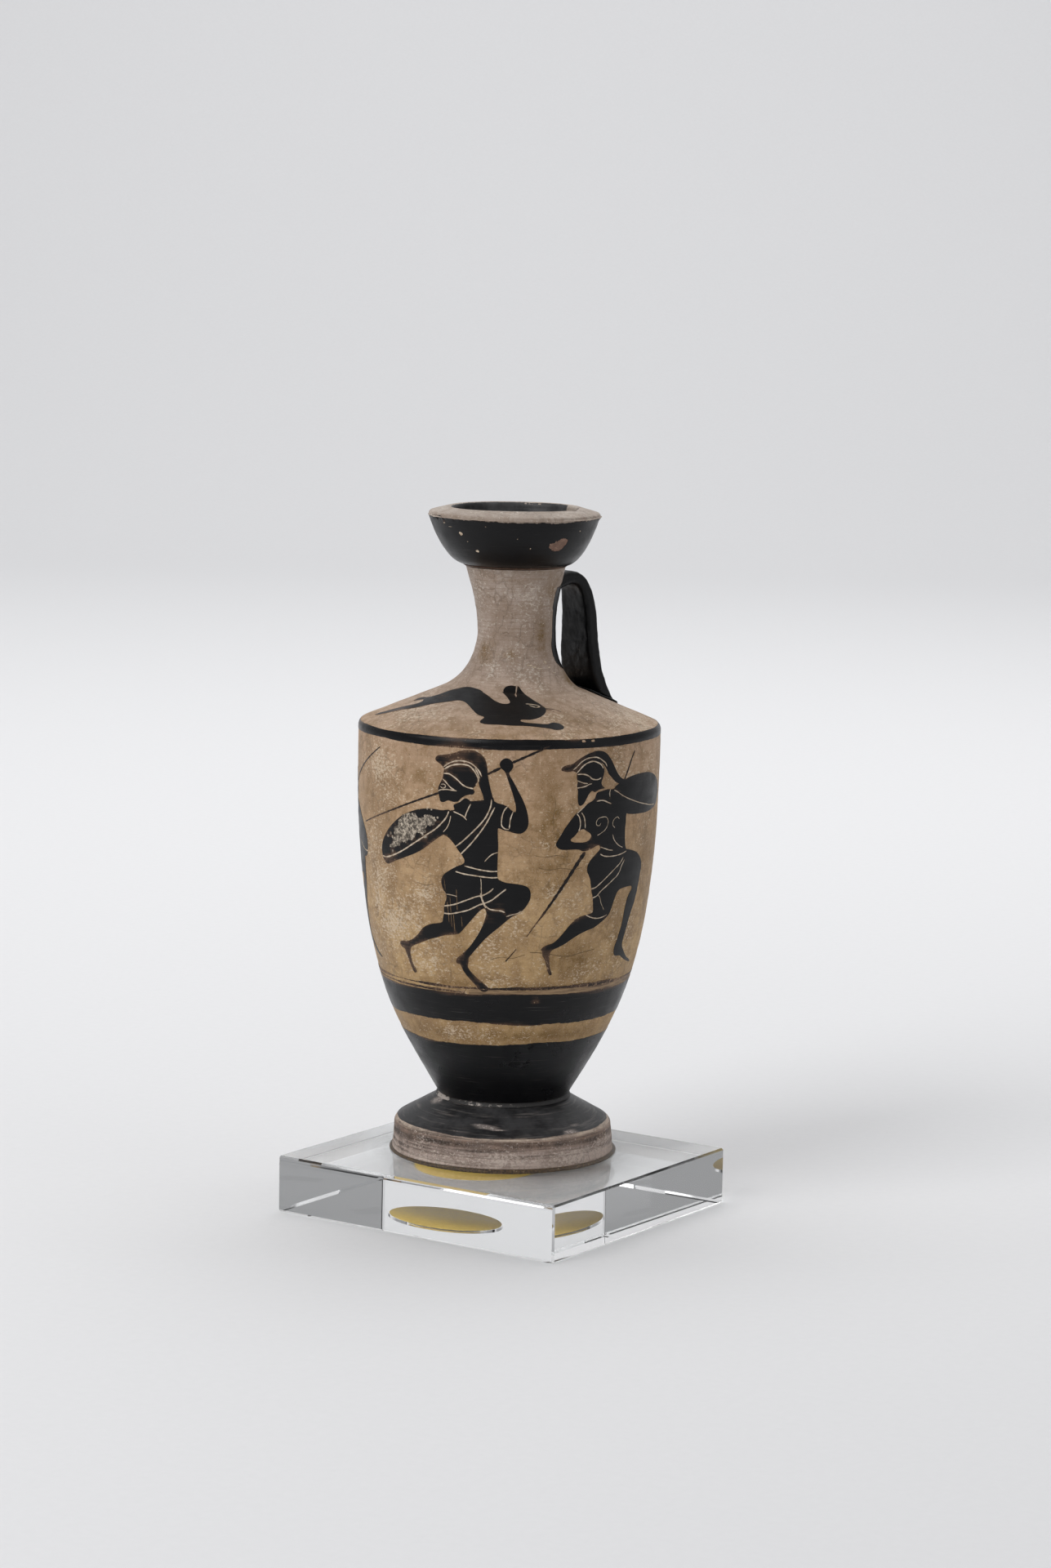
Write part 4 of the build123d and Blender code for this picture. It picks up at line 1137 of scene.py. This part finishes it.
def frieze():
    """The running hoplites round the wall, with their spears."""
    flake = ragged(SHIELD_FLAKE, 0.45, 2.0)
    draw = random.Random(41)
    pits = []
    for _ in range(26):
        x, y = draw.choice(SHIELD_FLAKE)
        x, y, size = x + draw.uniform(-1.6, 1.6), y + draw.uniform(-1.4, 1.4), draw.uniform(0.12, 0.32)
        pits.append(oval(x, y, size, size, 0.12, x))
    lines_a, lines_b = ([row for part in lines.values() for row in part] for lines in (LINES_A, LINES_B))
    parts_a, parts_b = HOPLITE_A.values(), HOPLITE_B.values()
    losses = [flake, *pits, *closed_lines(SCRATCHES)]
    figure("hoplite_front_left", parts_a, lines_a, holes=losses, worn=WORN_SPOTS)
    figure("hoplite_front_right", parts_b, lines_b, BARE_B, worn=WORN_SPOTS)
    inner = inside_any(np.array([pit.mean(0) for pit in pits]), [spline(HOPLITE_A["shield"], True)])
    shown = [pit for pit, keep in zip(pits, inner) if keep]
    coat("shield_crust", WALL, [flake, *shown], [], "crust", crust_lift, 0.4)

    parts_d, lines_d = [], []
    # The back hoplite's parts: from which figure, turned about or not, and shifted round the wall
    for names, outlines, strokes, mirror, shift in (
        (("crest", "head"), HOPLITE_A, LINES_A, True, -68.5),
        (("torso", "legs"), HOPLITE_B, LINES_B, False, BACK_SHIFT),
        (("shield",), HOPLITE_A, LINES_A, True, -69.5),
    ):
        for part in names:
            parts_d.append(moved(outlines[part], mirror, shift))
            lines_d += [(width, moved(points, mirror, shift)) for width, points in strokes.get(part, ())]
    figure("hoplite_back_left", parts_d, lines_d, [moved(BARE_B[0], False, BACK_SHIFT)])
    figure("hoplite_back_right", parts_a, lines_a, mirror=True, shift=-100.0)
    coat("spears_gloss", WALL, closed_lines(SPEARS), [], "figures", worn=WORN_SPOTS)


def shoulder_paint():
    """The crouching animal on the shoulder and the neck's flare, and the ring round the edge."""
    solid = [spline(ANIMAL, True), *closed_lines(ANIMAL_WHISKERS)]
    cuts = closed_lines(ANIMAL_LINES)
    turns = np.linspace(0, 2 * math.pi, 200, endpoint=False)
    flare = [np.column_stack([np.cos(turns), np.sin(turns)]) * FLARE_RADIUS]
    for name, surface, within in (("shoulder", SHOULDER, None), ("flare", FLARE, flare)):
        coat(f"animal_on_{name}_gloss", surface, solid, cuts, "animal", within=within, worn=ANIMAL_WORN)
    coat("animal_needle_lines", SHOULDER, cuts[:2], [], "needle", NEEDLE_LIFT, 0.5, solid)
    edge = band((-0.75, 0.16, 0.12, 5), (1.3, 0.14, 0.12, 6))
    coat("shoulder_ring_gloss", EDGE, [edge], [], "bands", worn=WORN_SPOTS)


def wall_bands():
    """The bands under the frieze, down to the foot."""
    low = band((24.5, 0.0, 0.0, 1), (38.8, 0.3, 0.2, 2))
    broad = band((43.35, 0.28, 0.22, 3), (50.0, 0.16, 0.16, 4))
    ground = band((51.05, 0.22, 0.14, 7), (51.6, 0.22, 0.2, 8))
    strand = band((50.15, 0.1, 0.15, 12), (50.55, 0.1, 0.22, 13), -52.0, -10.0)
    wash = band((50.0, 0.1, 0.2, 10), (51.2, 0.15, 0.4, 11), -9.0, 96.0)
    coat("lower_wall_gloss", WALL, [low], [], "bands", spacing=0.9, worn=WORN_SPOTS)
    coat("broad_band_gloss", WALL, [broad], [], "bands", spacing=0.9, worn=WORN_SPOTS)
    coat("ground_line_gloss", WALL, [ground, strand], [], "ground", worn=WORN_SPOTS)
    coat("ground_line_wash", WALL, [wash], [], "wash", lift=0.02)
    coat("hairline_cracks", WALL, closed_lines(HAIRLINES), [], "hairline", CHIP_LIFT, 0.5)


def mouth_paint():
    """Gloss on the cup's outside and inside, chipped, with the lip left bare."""
    top, chip_middle = (float(mouth.reach(z, 1, 0, MOUTH_SIDE_END)) for z in (146.5, 141.7))
    outside = band((0.3, 0.0, 0.0, 1), (top, 0.22, 0.4, 12))
    inside_coat = band((CUP_GLOSS_START, 0.1, 0.16, 13), (CUP_GLOSS_END, 0.0, 0.0, 1))
    chips = ovals(mouth, MOUTH_SIDE_END, MOUTH_CHIPS, MOUTH_RADIUS, 0.6)
    large = ragged([
        (x * BODY_RADIUS / MOUTH_RADIUS + math.radians(34) * BODY_RADIUS, y + chip_middle)
        for x, y in LARGE_CHIP
    ], 0.4, 1.0)
    notch = ragged([(x, y + CUP_GLOSS_START) for x, y in INNER_NOTCH], 0.3, 4.0)
    coat("mouth_outside_gloss", MOUTH, [outside], [large, *chips], "mouth")
    coat("mouth_inside_gloss", MOUTH, [inside_coat], [notch], "inside", lift=0.03, spacing=0.4)
    coat("mouth_large_chip", MOUTH, [large], [], "chip", CHIP_LIFT, 0.4)
    coat("mouth_small_chips", MOUTH, chips, [], "needle", CHIP_LIFT, 0.4)


def neck_paint():
    """Gloss on the neck's back, behind the handle, and the rough seam at its base."""
    back = [(math.radians(a) * BODY_RADIUS, float(neck.reach(z, 1, 0, NECK_TOP))) for a, z in NECK_GLOSS]
    coat("neck_back_gloss", NECK, [ragged(back, 0.5, 3.0)], [], "handle")
    seam = ovals(neck, NECK_TOP, NECK_SEAM, NECK_RADIUS, 0.8)
    coat("neck_seam_crumbs", NECK, seam, [], "needle", 0.06, 0.4)


def foot_paint():
    """Worn gloss on the foot's sloping top."""
    start = foot.reach(22.35, 0, FOOT_SIDE_START, FOOT_TOP_END)
    top = band((start, 0.2, 0.2, 14), (FOOT_TOP_END, 0.1, 0.1, 15))
    coat("foot_top_gloss", FOOT, [top], [], "foot_top", spacing=0.45, worn=FOOT_WORN)


def soften(node, name, voxel, rough, grow, seed):
    """A hand-made copy of a modelled piece: remeshed, smoothed and a little lumpy."""
    made = show(name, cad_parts[node].data.copy())
    for kind, settings in (
        ("WELD", {"merge_threshold": 0.002 * MM}),
        ("REMESH", {"mode": "VOXEL", "voxel_size": voxel * MM}),
        ("SMOOTH", {"iterations": 6, "factor": 0.5}),
    ):
        step = made.modifiers.new(kind.lower(), kind)
        for key, value in settings.items():
            setattr(step, key, value)
    bpy.context.view_layer.update()
    shaped = bpy.data.meshes.new_from_object(made.evaluated_get(bpy.context.evaluated_depsgraph_get()))
    made.modifiers.clear()
    made.data = shaped
    flat = np.empty((len(shaped.vertices), 3), np.float32)
    normals = np.empty((len(shaped.vertices), 3), np.float32)
    shaped.vertices.foreach_get("co", flat.ravel())
    shaped.vertex_normals.foreach_get("vector", normals.ravel())
    lumps = [noise.fractal(Vector(p) * 0.35 + Vector((seed, 0, 0)), 0.8, 2.0, 4) for p in flat / MM]
    flat += normals * (np.array(lumps, np.float32)[:, None] * rough + grow) * MM
    shaped.vertices.foreach_set("co", flat.ravel())
    dress(shaped, finishes["handle"])
    shaped.update()
    settle(made, [node])


def handle_pieces():
    """The strap handle and the slip pads that hold it."""
    soften("handle", "handle_strap", 0.28, 0.1, -0.05, 1.0)
    soften("handle_upper_slip", "handle_upper_pad", 0.12, 0.1, 0.22, 5.0)
    soften("handle_lower_slip", "handle_lower_pad", 0.12, 0.14, 0.0, 9.0)


def base_pieces():
    """The clear plinth, the disc under it and the fixing bead."""
    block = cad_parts["plinth"].data.copy()
    block.attributes.remove(block.attributes["custom_normal"])
    dress(block, finishes["acrylic"], False)
    settle(show("clear_plinth", block), ["plinth"])
    low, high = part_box("underside_disc")
    middle = (low + high) / 2 / MM
    radius = (high.x - low.x) / 2 / MM
    top = high.z / MM + SKIN_INSET + 0.02
    disc = Skin([
        [(0, SKIN_INSET)],
        straight((radius - 0.05, SKIN_INSET), (radius, SKIN_INSET + 0.05), 2),
        straight((radius, SKIN_INSET + 0.05), (radius, top - 0.02), 3),
        [(radius - 0.1, top), (0, top)],
    ], 1, 0.0, centre=(middle.x, middle.y))
    disc.turned("gold_paper_disc", "gold", "gold_paper", "underside_disc", 128)
    bead_corners = pairs(18.3, 11.95, 24.1, 11.95, 24.2, 12.3, 23.6, 12.75, 18.3, 12.45)
    ring("fixing_wax_bead", "fixing_bead", bead_corners, (6, 3, 4, 4), 2, 0.25, "wax", "fixing_wax", 200)


def make_finishes():
    """All the materials, by what they are for."""
    vessel_tones = [
        (24.0, (0.38, 0.235, 0.105)), (50.0, (0.48, 0.31, 0.135)), (66.0, (0.52, 0.34, 0.165)),
        (86.0, (0.5, 0.325, 0.185)), (102.0, (0.48, 0.32, 0.21)), (107.0, (0.5, 0.355, 0.255)),
        (116.0, (0.46, 0.36, 0.3)), (136.0, (0.44, 0.365, 0.315)),
    ]
    rim_tones = [(144.0, (0.36, 0.27, 0.21)), (146.8, (0.43, 0.355, 0.3)), (148.6, (0.49, 0.425, 0.37))]
    foot_tones = [
        (12.4, (0.46, 0.355, 0.3)), (13.2, (0.55, 0.435, 0.375)), (16.2, (0.52, 0.405, 0.345)),
        (17.1, (0.31, 0.205, 0.15)), (18.3, (0.27, 0.17, 0.12)), (18.7, (0.6, 0.48, 0.375)),
        (20.0, (0.5, 0.42, 0.35)), (24.0, (0.46, 0.41, 0.37)),
    ]
    ring_tones = [(136.0, (0.2, 0.12, 0.085)), (137.0, (0.1, 0.06, 0.045))]
    chip_tones = [(139.0, (0.2, 0.105, 0.075)), (144.0, (0.27, 0.155, 0.11))]
    soil = (0.165, 0.085, 0.014)
    stain = [(104.0, (0.25, 0.143, 0.057)), (114.0, (0.27, 0.19, 0.135))]
    pale = [(104.0, (0.66, 0.53, 0.385)), (114.0, (0.6, 0.52, 0.44))]
    rim_stain, foot_stain = (0.27, 0.2, 0.15), (0.28, 0.205, 0.165)
    brown_stain, chip_stain = (0.08, 0.05, 0.035), (0.13, 0.075, 0.05)
    neck_rings = {1: 108.0, 2: 118.0, 3: 0.25, 4: 0.8}
    even_rings = {1: 10.0, 2: 150.0, 3: 0.3, 4: 0.3}
    foot_rings = {1: 14.5, 2: 17.6, 3: 0.35, 4: 0.95}
    return {
        "vessel": clay("vessel_clay", vessel_tones, stain, stain, soil, pale, neck_rings, 0.0),
        "rim": clay("rim_clay", rim_tones, rim_stain, rim_stain, soil, (0.62, 0.55, 0.48), even_rings, 8.0),
        "foot": clay("foot_clay", foot_tones, foot_stain, (0.06, 0.036, 0.025), (0.03, 0.017, 0.011),
                     (0.62, 0.52, 0.45), foot_rings, 12.0, (0.08, 0.08, 0.9)),
        "brown": clay("slip_brown", ring_tones, brown_stain, brown_stain, soil, (0.35, 0.25, 0.19),
                      even_rings, 16.0),
        "chip": clay("chip_clay", chip_tones, chip_stain, chip_stain, soil, (0.36, 0.25, 0.18),
                     even_rings, 18.0),
        "figures": gloss("figure_gloss", 0.0, 0.32, 0.12, 1.0),
        "animal": gloss("animal_gloss", 0.03, 0.36, 0.15, 5.0),
        "bands": gloss("band_gloss", 0.02, 0.26, 0.3, 9.0),
        "ground": gloss("ground_line_gloss", 0.06, 0.4, 0.2, 13.0),
        "mouth": gloss("mouth_gloss", 0.0, 0.28, 0.15, 17.0),
        # The inner wall's and the foot top's grey haze is partly dust and partly painted sheen
        "inside": gloss("mouth_inside_gloss", 0.03, 0.32, 0.3, 19.0, dust_and_painted_sheen=0.8),
        "foot_top": gloss("foot_gloss", 0.04, 0.36, 0.6, 23.0, (0.5, 0.44, 0.4), (0.24, 0.2, 0.18), 0.5),
        "handle": gloss("handle_gloss", 0.0, 0.26, 0.15, 27.0),
        "slip": slip("foot_slip"),
        "acrylic": acrylic("clear_acrylic"),
        # Dirt in a fine crack
        "hairline": grained("hairline_dirt", (0.7, 4), None, ((0.05, 0.03, 0.015), (0.3, 0.19, 0.09)),
                            0.9, (0.03, 0.5), (4.0, 3)),
        # Thinned paint that has fired brown and let the clay through
        "wash": grained("dilute_wash", (1.0, 5, 0.7, (0.12, 0.12, 1.5), 5), (0.36, 0.66),
                        ((0.11, 0.062, 0.03), (0.36, 0.235, 0.12)), 0.55, (0.05, 0.5)),
        # Clay laid bare by the needle, with dirt caught in it
        "needle": grained("needle_clay", (0.9, 5, 0.65, EVEN, 4), (0.36, 0.62),
                          ((0.42, 0.32, 0.22), (0.66, 0.55, 0.42)), 0.75, (0.04, 0.5),
                          (6.0, 3, 0.55, EVEN, 2)),
        # Pale chalky crust where the gloss has flaked off
        "crust": grained("flaked_crust", (1.5, 6, 0.72, EVEN, 9), (0.42, 0.66),
                         ((0.07, 0.056, 0.042), (0.62, 0.53, 0.42)), 0.85, (0.25, 0.8)),
        # Matt gold paper with a soft grain
        "gold": grained("gold_paper", (1.4, 5, 0.6, EVEN, 6), (0.3, 0.7),
                        ((0.8, 0.55, 0.12), (0.9, 0.66, 0.18)), (0.42, 0.55), (0.03, 0.4), metal=0.05),
        # Dark brown fixing wax with light grit in it
        "wax": grained("fixing_wax", (2.6, 5, 0.7, EVEN, 1), (0.42, 0.6),
                       ((0.03, 0.018, 0.01), (0.12, 0.075, 0.035)), (0.35, 0.6), (0.15, 0.6),
                       grit=(0.63, 0.7, (0.6, 0.5, 0.38))),
        # Pale backdrop paper with a faint tooth
        "floor": grained("floor_paper", (0.5, 6, 0.6, EVEN, 3), None,
                         ((0.78, 0.78, 0.79), (0.82, 0.82, 0.83)), 0.9, (0.1, 0.3)),
    }


def studio():
    """The pale sweep, the soft lamps and the camera at the photograph's angle, in metres."""
    scene = bpy.context.scene
    toward = Vector((math.cos(FRONT), math.sin(FRONT), 0))
    right = Vector((-math.sin(FRONT), math.cos(FRONT), 0))
    up = Vector((0, 0, 1))

    width, near, far, rise, bend = 4.0, 1.6, 1.5, 2.0, 0.8
    turns = np.linspace(0, math.pi / 2, 24)[1:]
    side = [(near, 0.0), (-far, 0.0)]
    side += [(-far - bend * math.sin(a), bend * (1 - math.cos(a))) for a in turns]
    side.append((-far - bend, rise))
    points = [
        toward * d + right * w + up * (z - FLOOR_GAP * MM) for d, z in side for w in (-width / 2, width / 2)
    ]
    faces = [(2 * i, 2 * i + 1, 2 * i + 3, 2 * i + 2) for i in range(len(side) - 1)]
    mesh = bpy.data.meshes.new("floor_sweep")
    mesh.from_pydata(points, [], faces)
    dress(mesh, finishes["floor"])
    floor = show("floor_sweep", mesh)

    # Name, way right, way front, height, aim towards the front, aim height, size, power
    lamps = (
        ("key_lamp", -0.62, 0.62, 0.72, 0.0, 0.075, 0.5, 5.6),
        ("fill_lamp", 0.95, 0.45, 0.45, 0.0, 0.075, 0.9, 1.3),
        ("back_lamp", 0.35, -0.75, 0.95, 0.0, 0.075, 0.7, 1.0),
        ("sweep_lamp", 0.0, -0.7, 1.5, -1.9, 0.1, 1.6, 19.0),
    )
    for name, along, front, height, aim_front, aim_height, size, power in lamps:
        light = bpy.data.lights.new(name, "AREA")
        light.size, light.energy = size, power
        lamp = show(name, light)
        lamp.location = right * along + toward * front + up * height
        aimed = toward * aim_front + up * aim_height - lamp.location
        lamp.rotation_euler = aimed.to_track_quat("-Z", "Y").to_euler()

    scene.world = bpy.data.worlds.new("studio")
    scene.world.use_nodes = True
    sky = scene.world.node_tree.nodes["Background"].inputs
    sky["Color"].default_value = (0.92, 0.93, 0.95, 1)
    sky["Strength"].default_value = 0.32

    pitch, yaw, roll = (math.radians(a) for a in (8.0975, 0.2428, 1.0423))
    ahead = right * math.sin(yaw) - toward * math.cos(pitch) * math.cos(yaw) - up * math.sin(pitch)
    ahead.normalize()
    across = ahead.cross(up).normalized()
    over = across.cross(ahead)
    tilted = across * math.cos(roll) + over * math.sin(roll)
    over = over * math.cos(roll) - across * math.sin(roll)
    lens = bpy.data.cameras.new("camera")
    lens.sensor_fit = "VERTICAL"
    lens.sensor_height = 36.0
    lens.lens = 92.34
    lens.clip_start = 0.05
    camera = show("camera", lens)
    place = toward * 0.836886 + up * 0.209276
    camera.matrix_world = Matrix.Translation(place) @ Matrix((tilted, over, -ahead)).transposed().to_4x4()
    scene.camera = camera
    scene.view_settings.view_transform = "Standard"


finishes = make_finishes()
thrown_pieces()
slip_rings()
frieze()
shoulder_paint()
wall_bands()
mouth_paint()
neck_paint()
foot_paint()
handle_pieces()
base_pieces()
studio()
